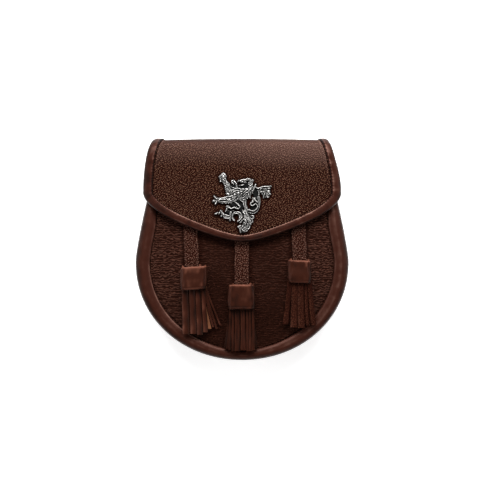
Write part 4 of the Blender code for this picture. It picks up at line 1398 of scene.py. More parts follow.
@dataclass
class Tassel:
    """A hanger strap, the rolled wrap that ends it and the fringe of cut strips."""

    recipes: Recipes
    side: str
    strap_x: float
    head_x: float
    head_top: float
    head_width: float
    head_height: float
    hidden_top: float
    strips: tuple[Strip, ...]
    seed: int
    strip_finish: Finishes = Finishes.TASSEL
    shift: float = 0.0
    head_tone: float = 0.0
    slant: float = 0.0
    strap_width: float = 12.4 * MM
    strap_leather: float = 1.8 * MM
    strap_relief: float = 0.18 * MM
    head_depth: float = 9.0 * MM
    head_wall: float = 1.5 * MM
    strip_leather: float = 1.6 * MM
    strip_tucked: float = 4.0 * MM

    def build(self) -> None:
        """Builds and dresses the strap, the wrap, its folded ends and the fringe."""
        self.strap()
        self.wrap()
        self.fringe()

    def strap(self) -> None:
        """The pebbled strap, which lies on the front panel."""
        rows, around = 120, 40
        t = np.linspace(0.0, 1.0, rows + 1)[:, None]
        turn = tau * (np.arange(around) + 0.5) / around
        end_y = self.head_top + 0.2 * MM
        y = self.hidden_top + (end_y - self.hidden_top) * t
        middle = self.strap_x + (self.head_x + self.shift - self.strap_x) * t
        across, up = squared(np.cos(turn), 0.35), squared(np.sin(turn), 0.35)
        wave = 0.25 * MM * ripple(y, 0.0, 11 * MM, self.seed)
        x = middle + self.strap_width / 2 * across + wave
        rest = POUCH.front_z(middle, y) + GAP + self.strap_leather / 2
        cup = -0.25 * MM * across**2
        z = rest + self.strap_leather / 2 * up + cup
        points = np.stack([x, np.broadcast_to(y, x.shape), z], axis=-1)
        shell = sweep(points)
        shade = 0.5 + 0.18 * bell(np.abs(across), 0.82, 0.09) - 0.5 * ease(np.abs(across), 0.9, 1.0)
        # Painted shadow of the flap over the strap's top
        shade = shade - 0.3 * ease(y, 14 * MM, 24 * MM)
        shell.values["tone"] = shade.ravel()
        shell.values["grain"] = np.broadcast_to((up > 0.2).astype(float), x.shape).ravel()
        piece = make_piece("hanger_strap_" + self.side, shell, (Finishes.STRAP,), sharp=60.0)
        self.recipes.emboss(piece, Finishes.STRAP, self.strap_relief)
        hand_over(piece, Finishes.STRAP, "hanger_" + self.side)

    def wrap(self) -> None:
        """The wrap: a rolled pad of smooth leather whose end laps over its front."""
        turn = tau * (np.arange(96) + 0.5) / 96
        wall = self.head_wall
        # Share of the height from the top, inset and tone; the tone paints a highlight along the
        # top edge and shade in the fold line near the bottom and on the underside
        rows = (
            (0.03, wall + 0.6 * MM, 0.3),
            (0.0, wall, 0.4),
            (-0.012, 0.8 * MM, 0.9),
            (0.0, 0.25 * MM, 1.0),
            (0.03, -0.05 * MM, 0.9),
            (0.1, -0.15 * MM, 0.56),
            (0.3, -0.22 * MM, 0.5),
            (0.5, -0.26 * MM, 0.48),
            (0.7, -0.2 * MM, 0.46),
            (0.86, -0.08 * MM, 0.42),
            (0.905, 0.06 * MM, 0.24),
            (0.94, -0.05 * MM, 0.42),
            (0.985, 0.1 * MM, 0.4),
            (1.0, 0.5 * MM, 0.5),
            (1.0, wall, 0.15),
            (0.96, wall + 0.5 * MM, 0.05),
        )
        table = smooth_curve(rows, 3)
        share, inset, tone = (table[:, k : k + 1] for k in range(3))
        lean = ripple(turn * 3, 0.5, 1.4, self.seed + 1) * 0.3 * MM
        y = self.head_top - self.head_height * share + lean + self.slant * np.cos(turn)
        from_back = (turn + pi / 2) % tau / tau
        lap = 0.45 * MM * ease(from_back, 0.335, 0.35) * (1.0 - ease(from_back, 0.8, 0.95))
        dent = 0.3 * MM * ripple(turn * 4, share * 3, 1.0, self.seed + 2)
        out = lap - inset - dent
        half_x = self.head_width / 2 - 0.4 * MM + out
        half_z = self.head_depth / 2 - 0.7 * MM + out
        across, up = squared(np.cos(turn), 0.5), squared(np.sin(turn), 0.5)
        rounded = 1.0 - 0.035 * (np.abs(2.0 * share - 1.0) ** 9)
        x = self.head_x + half_x * across * rounded
        middle = self.head_top - self.head_height / 2
        rest = POUCH.front_z(self.head_x, middle) + GAP + self.head_depth / 2
        z = rest + half_z * up
        points = np.stack([x, np.broadcast_to(y, x.shape), z], axis=-1)
        shell = sweep(points)
        # Painted shade on the right side plane and along the left edge
        shade = tone - 0.24 * ease(across, 0.66, 0.74) - 0.16 * ease(-across, 0.84, 0.96)
        shade = shade + 0.18 * ripple(turn * 4, share * 5, 1.0, self.seed + 3) + self.head_tone
        shell.values["tone"] = shade.ravel()
        shells = joined([shell, *self.folds(rest)])
        piece = make_piece("tassel_wrap_" + self.side, shells, (Finishes.TASSEL,), sharp=60.0)
        hand_over(piece, Finishes.TASSEL, "tassel_" + self.side)

    def folds(self, rest: float) -> list[Shell]:
        """The folded tops of the strips, which show beside the strap above the wrap."""
        shells = []
        rng = np.random.default_rng(self.seed + 5)
        ring = tau * np.arange(10) / 10
        turn = np.linspace(0.0, pi, 13)[:, None]
        thickness = 1.0 + 0.25 * np.cos(ring)
        for side in (-1.0, 1.0):
            reach = self.strap_width / 2 + rng.uniform(0.9, 1.4) * MM
            x = self.head_x + self.shift + side * min(reach, self.head_width / 2 - 1.8 * MM)
            rise = rng.uniform(2.0, 2.6) * MM
            y = self.head_top - 1.2 * MM + 0.8 * self.slant * side + rise * np.sin(turn) * thickness
            z = rest + 0.6 * MM - 2.2 * MM * np.cos(turn) * thickness
            wide = x + 0.95 * MM * np.sin(ring) + 0.0 * turn
            shell = sweep(np.stack([wide, y, z], axis=-1))
            # Painted highlight on the folded tops
            shell.values["tone"] = np.full(len(shell.points), 0.8)
            shells.append(shell)
        return shells

    def fringe(self) -> None:
        """All the cut strips, each with its own bend, twist and tone."""
        rng = np.random.default_rng(self.seed + 9)
        shells = [self.strip(strip, number, rng) for number, strip in enumerate(self.strips)]
        finishes = (self.strip_finish, Finishes.FLESH)
        piece = make_piece("tassel_fringe_" + self.side, joined(shells), finishes, sharp=50.0)
        hand_over(piece, Finishes.TASSEL, "tassel_" + self.side)

    def strip(self, strip: Strip, number: int, rng: np.random.Generator) -> Shell:
        """One cut strip, from inside the wrap down to where it lies.

        Args:
            strip: Where it hangs.
            number: Its place in the fringe.
            rng: Source of its bend, twist and tone.

        Returns:
            The strip, with its cut edges in the second finish.
        """
        rows = 26
        t = np.linspace(0.0, 1.0, rows)[:, None]
        start_y = self.head_top - self.head_height + self.strip_tucked
        end_y = (strip.end_y + rng.uniform(-0.5, 0.5)) * MM
        y = start_y + (end_y - start_y) * t
        bow = rng.uniform(-0.35, 0.35) * np.sin(pi * t) + 0.15 * ripple(y, 0.0, 9 * MM, number)
        middle = self.head_x + (strip.start_x + (strip.end_x - strip.start_x) * t**1.2 + bow) * MM
        climb = 3.2 * MM * ease(POUCH.reach(middle, y), 0.6, 0.87)
        lie = POUCH.front_z(middle, y) + climb + GAP + self.strip_leather / 2
        lie = lie + (self.strip_leather + GAP) * strip.layer
        head_z = POUCH.front_z(self.head_x, start_y) + (2.6 + 2.4 * strip.layer) * MM
        z = head_z + (lie - head_z) * ease(t, 0.05, 0.95)
        half = strip.width / 2 * MM * (0.9 + 0.1 * t)
        lower = [(-1, -0.7), (-0.92, -1), (0.92, -1), (1, -0.7)]
        upper = [(1, 0.5), (0.9, 1), (0, 1.2), (-0.9, 1), (-1, 0.5)]
        corners = np.array(lower + upper)
        across = corners[:, 0] * half
        up = corners[:, 1] * 0.62 * MM
        twist = radians(rng.uniform(-7.0, 7.0)) * t**2
        x = middle + across * np.cos(twist) - up * np.sin(twist)
        height = z + across * np.sin(twist) + up * np.cos(twist)
        points = np.stack([x, np.broadcast_to(y, x.shape), height], axis=-1)
        shell = sweep(points)
        flesh = [strip.flesh_out or side in (2, 3, 8) for side in range(len(corners))]
        shell.finish_numbers = [int(out) for out in flesh] * (rows - 1) + [1, 1]
        edge = np.abs(corners[:, 0]) > 0.8
        shade = rng.uniform(0.36, 0.5) + 0.12 * ripple(y, across, 6 * MM, number + 50)
        contrast = min(1.0, strip.width / 4.0)
        # Painted highlight on each strip's left edge and painted shade on its right edge
        shade = shade + contrast * edge * np.where(corners[:, 0] < 0, 0.2, -0.28)
        # Painted shade just below the wrap and on the lower layer of strips
        shade = shade - 0.16 * (1.0 - ease(t, 0.1, 0.35)) - 0.2 * (1 - strip.layer) + strip.lighter
        shell.values["tone"] = np.broadcast_to(shade, x.shape).ravel()
        return shell


@dataclass(frozen=True)
class Limb:
    """A raised limb of the cast lion: its height and (x, y, half width) along it, in mm."""

    height: float
    points: tuple[tuple[float, float, float], ...]


@dataclass(frozen=True)
class Line:
    """A raised line or bead of the casting: its half width and (x, y) along it, in mm."""

    half: float
    points: tuple[tuple[float, float], ...]
    lift: float = 1.0


@dataclass
class Badge:
    """The cast lion on the flap."""

    centre: tuple[float, float] = (0.4 * MM, 39.9 * MM)
    base_z: float = 37.3 * MM
    unit: float = 0.987 * MM
    voxel: float = 0.25 * MM
    cavity_rounds: int = 14
    cavity_depth: float = 0.5 * MM
    limbs: tuple[Limb, ...] = (
        # Shoulder and mane
        Limb(
            2.2,
            (
                (-12.4, 8.4, 2.2),
                (-9.0, 8.4, 3.4),
                (-3.0, 8.0, 4.4),
                (4.0, 8.4, 4.2),
                (8.4, 10.0, 1.9),
            ),
        ),
        Limb(2.2, ((-6.0, 4.6, 3.0), (0.0, 4.0, 3.6), (4.0, 6.0, 3.0), (6.4, 4.0, 1.0))),
        Limb(2.1, ((-12.6, 7.4, 2.0), (-11.0, 5.6, 1.8), (-8.0, 5.0, 2.0))),
        # Head, jaws and tongue
        Limb(2.1, ((7.0, 11.6, 2.4), (7.2, 15.0, 2.2), (7.4, 18.0, 1.9))),
        Limb(2.0, ((8.2, 18.2, 1.4), (5.0, 19.1, 1.0), (1.0, 18.3, 1.4), (-2.0, 18.0, 1.0))),
        Limb(1.7, ((-1.4, 17.2, 1.0), (1.0, 16.9, 1.2), (2.6, 16.8, 1.0))),
        Limb(2.0, ((-3.3, 18.3, 0.7), (-4.0, 17.1, 0.7))),
        Limb(1.9, ((-4.8, 12.6, 1.0), (-5.6, 15.4, 1.1), (-8.3, 17.2, 1.5))),
        Limb(1.7, ((-2.6, 13.9, 0.8), (1.4, 14.9, 0.8))),
        Limb(2.3, ((8.8, 9.6, 1.3), (9.8, 12.2, 1.0), (11.2, 15.0, 0.7))),
        # Raised foreleg and its paw
        Limb(2.2, ((-12.0, 10.0, 3.2), (-12.7, 14.2, 2.8), (-15.2, 17.6, 2.3), (-16.2, 21.8, 2.5))),
        Limb(1.9, ((-18.7, 17.6, 1.1), (-18.6, 19.6, 1.0), (-19.5, 21.3, 1.0), (-18.2, 22.7, 1.1))),
        # Level foreleg and its claws
        Limb(2.1, ((-6.0, 2.6, 2.4), (-12.0, 1.5, 3.0), (-17.0, 1.0, 2.5), (-21.4, 1.6, 1.5))),
        Limb(1.9, ((-21.0, 2.8, 0.9), (-22.4, 3.3, 0.9), (-24.2, 5.0, 0.8))),
        Limb(1.9, ((-22.4, 1.2, 0.9), (-24.2, 1.3, 1.1), (-25.2, 0.6, 0.9))),
        Limb(1.9, ((-22.0, 0.4, 0.8), (-23.0, -2.0, 0.8))),
        # Waist, haunch and toes
        Limb(
            2.1,
            (
                (1.0, 3.0, 3.0),
                (1.8, 0.0, 2.1),
                (2.3, -3.2, 1.6),
                (3.4, -6.4, 1.9),
                (2.0, -9.0, 2.2),
            ),
        ),
        Limb(
            2.3,
            (
                (2.2, -9.4, 1.8),
                (3.6, -12.6, 2.9),
                (4.4, -16.0, 4.0),
                (3.0, -20.6, 3.8),
                (1.0, -23.6, 2.6),
            ),
        ),
        Limb(2.0, ((-0.6, -21.6, 1.6), (-1.9, -23.4, 1.0), (-1.6, -25.6, 1.0))),
        Limb(2.0, ((2.0, -23.6, 1.8), (3.7, -24.4, 0.9))),
        Limb(1.9, ((0.0, -20.4, 1.2), (-2.0, -20.6, 0.9), (-4.0, -20.9, 0.8))),
        Limb(1.8, ((-3.6, -21.2, 0.7), (-2.2, -22.8, 0.8))),
        Limb(1.9, ((7.2, -11.6, 0.8), (9.2, -12.2, 0.8), (9.4, -13.6, 0.7), (7.4, -14.6, 1.2))),
        # Bent hind leg
        Limb(
            2.0,
            (
                (-10.0, -8.4, 0.9),
                (-10.3, -11.4, 1.1),
                (-10.9, -14.4, 1.0),
                (-10.4, -15.6, 0.8),
            ),
        ),
        Limb(
            2.0,
            (
                (-11.0, -12.6, 1.7),
                (-14.4, -12.3, 1.7),
                (-16.6, -10.6, 1.3),
                (-18.5, -7.9, 1.0),
            ),
        ),
        Limb(
            1.9,
            (
                (-18.6, -7.9, 1.0),
                (-19.8, -9.4, 1.2),
                (-21.6, -9.2, 0.9),
                (-23.4, -10.2, 0.8),
            ),
        ),
        Limb(1.6, ((-16.8, -10.8, 1.2), (-18.2, -12.0, 0.9))),
        # Ring and scroll
        Limb(2.0, ((-7.0, -15.4, 0.8), (-8.7, -13.0, 0.9), (-7.8, -10.0, 1.1), (-5.0, -8.9, 1.1))),
        Limb(
            2.0,
            (
                (-5.0, -8.9, 1.1),
                (-2.2, -9.9, 1.3),
                (-1.4, -12.3, 1.4),
                (-2.4, -14.8, 1.1),
                (-4.2, -16.6, 0.7),
            ),
        ),
        Limb(1.8, ((-0.2, -15.4, 0.7), (-1.2, -17.0, 0.7), (-2.4, -17.8, 0.6))),
        Limb(
            1.9,
            (
                (-5.6, -0.4, 0.8),
                (-2.2, -3.9, 0.8),
                (-4.2, -5.7, 0.7),
                (-6.8, -4.6, 0.7),
                (-9.7, -5.6, 0.7),
            ),
        ),
        Limb(1.9, ((-9.7, -5.6, 0.7), (-12.4, -3.9, 1.1), (-13.5, -6.2, 0.8), (-14.3, -7.7, 0.7))),
        # Tail and the thin band round it
        Limb(
            1.9,
            (
                (4.4, -6.4, 1.1),
                (8.4, -7.5, 0.8),
                (12.0, -5.8, 0.8),
                (12.9, -3.4, 0.8),
                (11.0, -1.5, 0.7),
            ),
        ),
        Limb(
            1.9,
            (
                (11.0, -1.5, 0.7),
                (8.6, -3.0, 0.7),
                (6.8, -1.8, 0.9),
                (8.4, 0.3, 1.0),
                (10.0, 2.8, 1.3),
            ),
        ),
        Limb(1.9, ((10.6, 1.6, 0.9), (12.8, -0.2, 0.7))),
        Limb(1.5, ((13.5, 11.4, 0.7), (13.8, 6.0, 1.0), (14.0, 0.0, 1.1), (14.0, -5.0, 0.7))),
        Limb(1.3, ((14.0, -5.0, 0.6), (12.0, -8.5, 0.5), (8.5, -9.5, 0.5), (4.2, -8.6, 0.6))),
        # Crown
        Limb(1.9, ((10.6, 13.2, 0.7), (13.4, 11.6, 0.7), (18.0, 13.1, 0.8), (24.0, 13.3, 0.8))),
        Limb(1.7, ((15.4, 11.2, 1.1), (19.0, 11.2, 1.4), (23.2, 11.4, 1.0))),
        Limb(1.7, ((15.8, 8.8, 1.3), (19.4, 8.6, 2.0), (22.6, 9.2, 1.4))),
        Limb(1.7, ((16.8, 6.8, 1.1), (20.0, 6.4, 2.2), (23.0, 6.9, 1.1))),
        Limb(1.6, ((18.2, 4.8, 1.3), (20.0, 4.6, 1.2), (22.0, 4.6, 1.0))),
        # Low plates in the openings that look black, darkened like the casting's other low parts
        Limb(0.8, ((-0.4, 13.4, 1.0), (2.6, 14.6, 2.2), (5.6, 14.4, 2.4))),
        Limb(0.8, ((-9.4, 14.2, 0.9), (-7.0, 13.6, 1.2), (-3.6, 13.6, 1.0))),
        Limb(0.8, ((-9.0, -2.4, 1.6), (-6.0, -2.0, 2.2), (-3.6, -0.6, 2.4))),
        Limb(0.8, ((11.2, 9.6, 1.6), (10.8, 6.0, 2.0), (12.4, 3.4, 1.2))),
        Limb(0.8, ((8.4, -5.0, 1.8), (10.6, -4.4, 1.6))),
        Limb(0.8, ((-0.4, -2.0, 1.2), (-1.2, -6.0, 1.6), (-0.4, -9.6, 1.0))),
        Limb(0.8, ((-14.8, -9.2, 0.8), (-11.6, -9.0, 1.1))),
        Limb(1.1, ((-12.4, -7.4, 0.9), (-9.6, -7.4, 1.0), (-7.6, -7.4, 0.8))),
    )
    lines: tuple[Line, ...] = (
        # Raised paw
        Line(0.65, ((-17.4, 23.7), (-16.3, 24.3), (-15.0, 23.5), (-14.0, 21.6))),
        Line(0.75, ((-18.0, 22.8),)),
        Line(0.8, ((-19.5, 21.3),), 1.4),
        Line(0.7, ((-16.3, 21.0),)),
        Line(0.75, ((-14.9, 20.0),), 1.2),
        Line(0.5, ((-18.6, 19.6), (-18.7, 18.2))),
        Line(0.85, ((-18.6, 17.6),), 1.3),
        Line(0.5, ((-16.6, 19.2), (-15.4, 17.6))),
        Line(0.45, ((-14.3, 18.8), (-13.4, 17.0), (-13.2, 15.8))),
        # Upper foreleg and shoulder
        Line(0.4, ((-15.4, 14.4), (-14.4, 13.3), (-12.8, 13.1))),
        Line(0.4, ((-14.6, 16.0), (-13.4, 14.6), (-11.6, 14.4))),
        Line(0.4, ((-12.0, 16.0), (-10.9, 14.6))),
        Line(0.55, ((-14.9, 12.3),)),
        Line(0.6, ((-14.4, 10.8),)),
        Line(0.5, ((-10.0, 13.0),), 1.2),
        Line(0.45, ((-11.6, 12.9), (-10.7, 11.4), (-10.6, 9.8), (-11.4, 8.2))),
        Line(0.4, ((-13.4, 10.0), (-13.9, 8.7))),
        Line(0.8, ((-12.8, 7.1), (-11.6, 6.6)), 0.8),
        Line(0.35, ((-9.4, 10.6), (-9.6, 8.8), (-10.2, 7.0))),
        # Back of the mane
        Line(0.4, ((-9.2, 12.0), (-8.2, 12.4), (-7.2, 11.8))),
        Line(0.5, ((-6.6, 11.4), (-5.4, 11.7), (-4.2, 11.7))),
        Line(0.5, ((-3.4, 11.8), (-2.0, 11.1), (-0.4, 10.9), (1.4, 11.1)), 1.2),
        Line(0.4, ((-9.2, 7.0), (-8.2, 8.1), (-7.0, 9.1), (-5.2, 9.7), (-3.2, 9.6)), 1.2),
        Line(1.3, ((-3.5, 7.7),), 0.9),
        Line(1.0, ((-6.8, 6.5), (-6.4, 6.2)), 0.8),
        Line(0.35, ((-2.4, 9.4), (-0.8, 9.0), (-0.2, 9.4))),
        Line(0.4, ((-1.4, 6.9), (-0.6, 7.2))),
        Line(0.4, ((-9.4, 0.9), (-7.8, 2.2), (-6.4, 3.6), (-5.4, 4.8)), 1.2),
        Line(0.35, ((-8.8, 3.0), (-7.6, 4.2), (-7.0, 5.0))),
        Line(0.6, ((-3.6, 4.8),), 1.1),
        Line(0.7, ((-4.5, 2.5),)),
        Line(0.5, ((-1.4, 5.6),), 1.1),
        Line(0.4, ((-2.6, 2.2), (-1.4, 3.4), (-1.0, 4.2))),
        Line(0.4, ((-1.6, 1.8), (-0.6, 0.6), (0.2, 0.2))),
        # Front of the mane
        Line(0.42, ((0.6, 7.6), (1.8, 8.8), (3.4, 9.9)), 1.2),
        Line(0.42, ((0.8, 5.4), (1.9, 6.6), (3.2, 7.9), (4.6, 8.6), (5.6, 9.8), (6.9, 10.8)), 1.3),
        Line(0.38, ((-0.6, 2.6), (0.6, 3.8), (1.8, 4.4))),
        Line(0.5, ((8.3, 9.6), (8.2, 8.4), (8.6, 7.3)), 1.1),
        Line(0.42, ((5.0, 7.2), (5.6, 5.2), (6.9, 3.1)), 1.2),
        Line(0.6, ((4.0, 3.3),)),
        Line(0.38, ((3.4, 6.4), (2.6, 5.0))),
        Line(0.35, ((6.2, 9.2), (6.7, 7.6), (6.9, 5.8))),
        Line(0.45, ((6.4, 11.0), (7.4, 11.0)), 1.2),
        Line(0.5, ((0.2, 1.4), (1.6, 2.2), (2.6, 1.4))),
        # Head
        Line(0.5, ((-2.4, 18.2), (0.0, 18.9), (2.6, 19.2), (5.4, 19.7), (7.0, 19.4)), 1.1),
        Line(0.5, ((8.9, 19.0), (8.8, 17.5)), 1.1),
        Line(0.5, ((7.1, 18.9), (7.1, 17.4))),
        Line(0.6, ((1.6, 16.8), (2.9, 16.8)), 1.5),
        Line(0.4, ((-1.4, 17.2), (0.4, 17.4))),
        Line(0.45, ((5.5, 16.8), (5.6, 15.2), (6.6, 13.9), (7.8, 14.8), (8.5, 15.5)), 1.4),
        Line(0.45, ((-3.2, 18.4), (-4.0, 17.3)), 1.4),
        Line(0.45, ((-1.2, 14.3), (0.0, 14.4), (1.4, 15.0)), 1.3),
        Line(0.5, ((-2.4, 13.9),), 1.2),
        Line(0.55, ((9.4, 9.9), (9.8, 12.0), (10.6, 13.9), (11.2, 15.0))),
        # Tongue
        Line(0.55, ((-9.3, 16.8), (-9.1, 18.0), (-8.0, 18.4), (-6.6, 17.3), (-5.2, 15.6)), 1.2),
        Line(0.35, ((-9.0, 16.4), (-8.2, 16.0), (-7.4, 15.7))),
        Line(0.6, ((-5.4, 15.7), (-5.1, 15.2)), 1.6),
        Line(0.4, ((-5.2, 14.6), (-4.8, 12.8)), 0.8),
        # Level foreleg
        Line(0.65, ((-24.1, 5.0), (-23.2, 4.0), (-22.2, 3.1), (-20.6, 2.9)), 1.6),
        Line(0.4, ((-20.6, 2.9), (-18.6, 3.1), (-16.6, 3.6), (-14.8, 3.7)), 1.2),
        Line(0.42, ((-14.6, 4.2), (-12.4, 4.7), (-10.2, 4.6))),
        Line(0.4, ((-19.6, 2.2), (-16.0, 2.3), (-14.4, 2.2)), 1.1),
        Line(0.7, ((-11.6, 2.7), (-10.6, 2.6))),
        Line(0.9, ((-24.0, 1.4), (-24.8, 0.9)), 1.5),
        Line(0.6, ((-20.6, 1.4), (-19.8, 1.4)), 1.2),
        Line(0.75, ((-22.9, -0.8), (-23.0, -1.6)), 1.3),
        Line(0.7, ((-17.2, -0.9),), 0.5),
        Line(0.75, ((-14.2, -0.9),), 0.5),
        Line(0.7, ((-12.0, -0.8),), 0.5),
        Line(0.6, ((-9.6, -0.6),), 0.5),
        Line(0.35, ((-18.6, 0.4), (-15.4, 0.2), (-12.6, 0.6)), 0.8),
        Line(0.3, ((-13.6, 3.2), (-12.6, 1.9), (-9.6, 1.4)), 0.7),
        # Scroll
        Line(
            0.5,
            (
                (-6.4, 0.2),
                (-5.0, -1.0),
                (-3.4, -2.5),
                (-2.2, -3.8),
                (-2.8, -5.2),
                (-4.0, -5.8),
            ),
            1.1,
        ),
        Line(0.5, ((-4.0, -5.8), (-5.4, -5.1), (-6.8, -4.6), (-8.2, -5.1), (-9.7, -5.6)), 1.4),
        Line(0.55, ((-9.7, -5.6), (-11.0, -4.8), (-12.2, -4.4)), 1.5),
        Line(0.7, ((-12.6, -3.4), (-13.8, -4.0))),
        Line(0.5, ((-13.3, -5.2), (-13.6, -6.8), (-14.5, -7.8))),
        # Ring
        Line(0.5, ((-7.0, -15.5), (-8.2, -14.7), (-9.0, -13.6))),
        Line(0.4, ((-8.7, -12.6), (-8.5, -11.0), (-8.0, -9.8), (-6.8, -8.8), (-5.2, -8.2))),
        Line(0.5, ((-4.8, -8.4), (-3.0, -8.6), (-1.6, -9.7), (-0.6, -11.2), (-0.5, -12.8)), 1.1),
        Line(0.5, ((-0.5, -12.8), (-1.3, -14.0), (-2.6, -15.4), (-4.2, -16.6)), 1.2),
        Line(0.35, ((-6.6, -10.0), (-5.0, -9.6), (-3.4, -10.3), (-2.6, -11.8), (-2.7, -13.4)), 0.8),
        Line(0.65, ((-6.9, -15.6),), 1.4),
        Line(0.6, ((-4.2, -16.6),), 1.3),
        Line(0.4, ((-0.3, -15.8), (-1.3, -17.1), (-2.4, -17.8)), 0.9),
        # Bent hind leg
        Line(
            0.55,
            (
                (-11.3, -11.9),
                (-12.6, -11.4),
                (-14.0, -11.0),
                (-15.6, -10.8),
                (-16.4, -10.1),
            ),
            1.4,
        ),
        Line(0.5, ((-16.4, -10.1), (-17.2, -8.9), (-17.7, -7.9)), 1.3),
        Line(0.6, ((-17.9, -7.5), (-18.7, -7.4)), 1.7),
        Line(0.4, ((-19.4, -8.4), (-19.9, -9.8), (-20.6, -10.4)), 0.8),
        Line(0.6, ((-21.2, -8.9), (-22.2, -9.8), (-23.4, -10.2)), 1.4),
        Line(0.7, ((-18.2, -12.0),), 0.8),
        Line(0.4, ((-15.9, -12.2), (-15.2, -13.4), (-13.4, -13.9), (-11.8, -13.7)), 0.9),
        Line(0.4, ((-10.0, -9.4), (-9.9, -11.2)), 0.9),
        Line(0.45, ((-10.9, -13.2), (-10.8, -14.6), (-11.2, -15.3)), 0.9),
        # Waist
        Line(0.45, ((2.6, 0.4), (2.4, -1.8), (2.9, -3.8), (3.2, -5.4)), 0.9),
        Line(0.4, ((0.6, -0.6), (1.0, -2.4), (1.6, -4.4)), 0.8),
        Line(0.45, ((3.4, -5.2), (4.4, -6.6), (4.8, -7.4))),
        Line(0.45, ((0.1, -6.6), (0.3, -7.8), (1.0, -9.2), (1.9, -10.2)), 0.9),
        Line(0.35, ((2.6, -8.0), (3.6, -8.6), (3.4, -9.8)), 0.8),
        Line(0.5, ((3.9, -10.6), (4.1, -11.3), (5.2, -11.4)), 1.2),
        # Haunch
        Line(0.5, ((0.5, -14.8), (1.2, -14.6), (2.4, -15.2), (3.0, -16.3), (3.1, -17.6)), 1.2),
        Line(0.65, ((0.8, -14.7),), 1.7),
        Line(0.35, ((4.5, -15.0), (5.0, -16.4), (6.0, -17.8), (7.0, -19.4))),
        Line(0.45, ((7.4, -11.5), (8.6, -11.5), (9.4, -12.4), (9.3, -13.7)), 1.2),
        Line(0.4, ((6.2, -12.7), (7.0, -13.7), (7.6, -14.6))),
        Line(0.4, ((8.2, -15.1), (8.7, -16.2), (8.3, -17.5), (7.3, -17.2)), 1.1),
        Line(0.45, ((6.5, -18.2), (7.3, -19.2)), 1.1),
        Line(0.6, ((3.0, -17.9), (2.4, -18.7), (2.0, -19.3)), 1.1),
        Line(0.4, ((1.4, -17.0), (1.4, -18.0))),
        Line(0.6, ((0.5, -20.2), (-0.1, -20.9)), 1.4),
        Line(0.8, ((1.9, -22.0),), 0.9),
        Line(0.45, ((6.2, -20.4), (5.9, -21.8), (4.6, -23.0)), 0.9),
        Line(0.4, ((3.9, -23.8), (3.7, -24.9)), 1.1),
        Line(0.4, ((-0.4, -23.4), (1.2, -24.6), (2.6, -25.0)), 0.9),
        Line(0.35, ((4.2, -18.4), (4.6, -20.2), (3.6, -21.2)), 0.8),
        Line(0.45, ((-3.9, -20.9), (-2.8, -20.4), (-1.4, -20.1))),
        Line(0.45, ((-3.4, -21.4), (-2.3, -22.6), (-2.0, -24.2), (-1.6, -25.5)), 1.1),
        # Tail
        Line(0.45, ((5.4, -6.3), (6.6, -7.1), (8.4, -7.6)), 1.2),
        Line(0.55, ((8.4, -7.6), (10.0, -7.3), (11.4, -6.4), (12.5, -5.0), (13.0, -3.8)), 1.5),
        Line(0.4, ((12.9, -3.4), (12.3, -2.2), (10.7, -1.5), (9.6, -2.6), (8.4, -3.0)), 1.1),
        Line(0.5, ((8.4, -3.0), (7.1, -2.6), (6.8, -1.7), (7.4, -0.4), (8.8, 0.2)), 1.4),
        Line(0.7, ((8.8, 3.5), (10.0, 3.0), (11.1, 3.2)), 1.2),
        Line(0.5, ((8.2, 0.2), (9.4, 0.2)), 1.6),
        Line(0.45, ((12.4, 0.1), (12.9, -0.4)), 1.2),
        Line(0.4, ((10.4, 2.2), (11.0, 1.2))),
        # Band beside the tail
        Line(0.5, ((13.6, 9.4), (13.9, 7.6), (13.9, 5.6)), 1.2),
        Line(0.3, ((13.2, 4.6), (13.2, 2.0), (13.3, -0.6)), 0.6),
        Line(0.3, ((14.7, 4.4), (14.8, 1.0), (14.7, -2.4)), 0.6),
        # Crown
        Line(0.45, ((10.9, 13.2), (12.2, 12.1), (13.6, 11.6), (14.8, 12.3), (16.4, 12.9)), 1.1),
        Line(0.45, ((16.4, 12.9), (18.4, 13.2), (20.6, 13.2), (22.6, 12.9)), 1.1),
        Line(0.8, ((24.1, 13.5),), 1.4),
        Line(0.55, ((21.8, 11.5), (23.2, 11.5)), 1.9),
        Line(0.35, ((14.7, 9.6), (15.1, 10.6), (16.0, 11.4), (17.2, 11.8))),
        Line(0.45, ((16.7, 8.9),), 1.2),
        Line(0.42, ((19.3, 8.2), (18.8, 7.0), (18.1, 5.3), (17.8, 3.8)), 1.2),
        Line(0.65, ((17.9, 3.6),), 1.4),
        Line(0.4, ((20.7, 8.3), (20.9, 6.8), (20.7, 5.4), (21.2, 4.1), (22.0, 4.0)), 1.1),
        Line(0.4, ((22.0, 8.6), (23.0, 7.5), (23.6, 6.8)), 1.1),
        Line(0.65, ((23.8, 6.5),), 1.5),
        Line(0.35, ((22.2, 4.2), (22.8, 5.2)), 0.9),
        Line(0.35, ((16.4, 7.6), (16.9, 6.2)), 0.9),
        Line(0.35, ((18.2, 11.3), (18.5, 10.0)), 0.8),
        Line(0.35, ((19.9, 11.2), (20.0, 9.8)), 0.8),
        Line(0.9, ((21.8, 9.5), (22.6, 9.2)), 0.7),
    )

    def build(self) -> None:
        """Casts the limbs and lines as one body and dresses it."""
        shells = [self.limb(limb) for limb in self.limbs]
        shells += [self.line(line) for line in self.lines]
        piece = make_piece("badge_lion", joined(shells), (Finishes.BADGE,))
        remesh = piece.modifiers.new("cast", "REMESH")
        remesh.mode = "VOXEL"
        remesh.voxel_size = self.voxel
        graph = bpy.context.evaluated_depsgraph_get()
        mesh = bpy.data.meshes.new_from_object(piece.evaluated_get(graph))
        piece.modifiers.clear()
        piece.data = mesh
        mesh.materials.clear()
        mesh.materials.append(Finishes.BADGE.value.material())
        mesh.shade_smooth()
        set_values(mesh, "cavity", self.cavity(mesh))
        hand_over(piece, Finishes.BADGE, "badge")

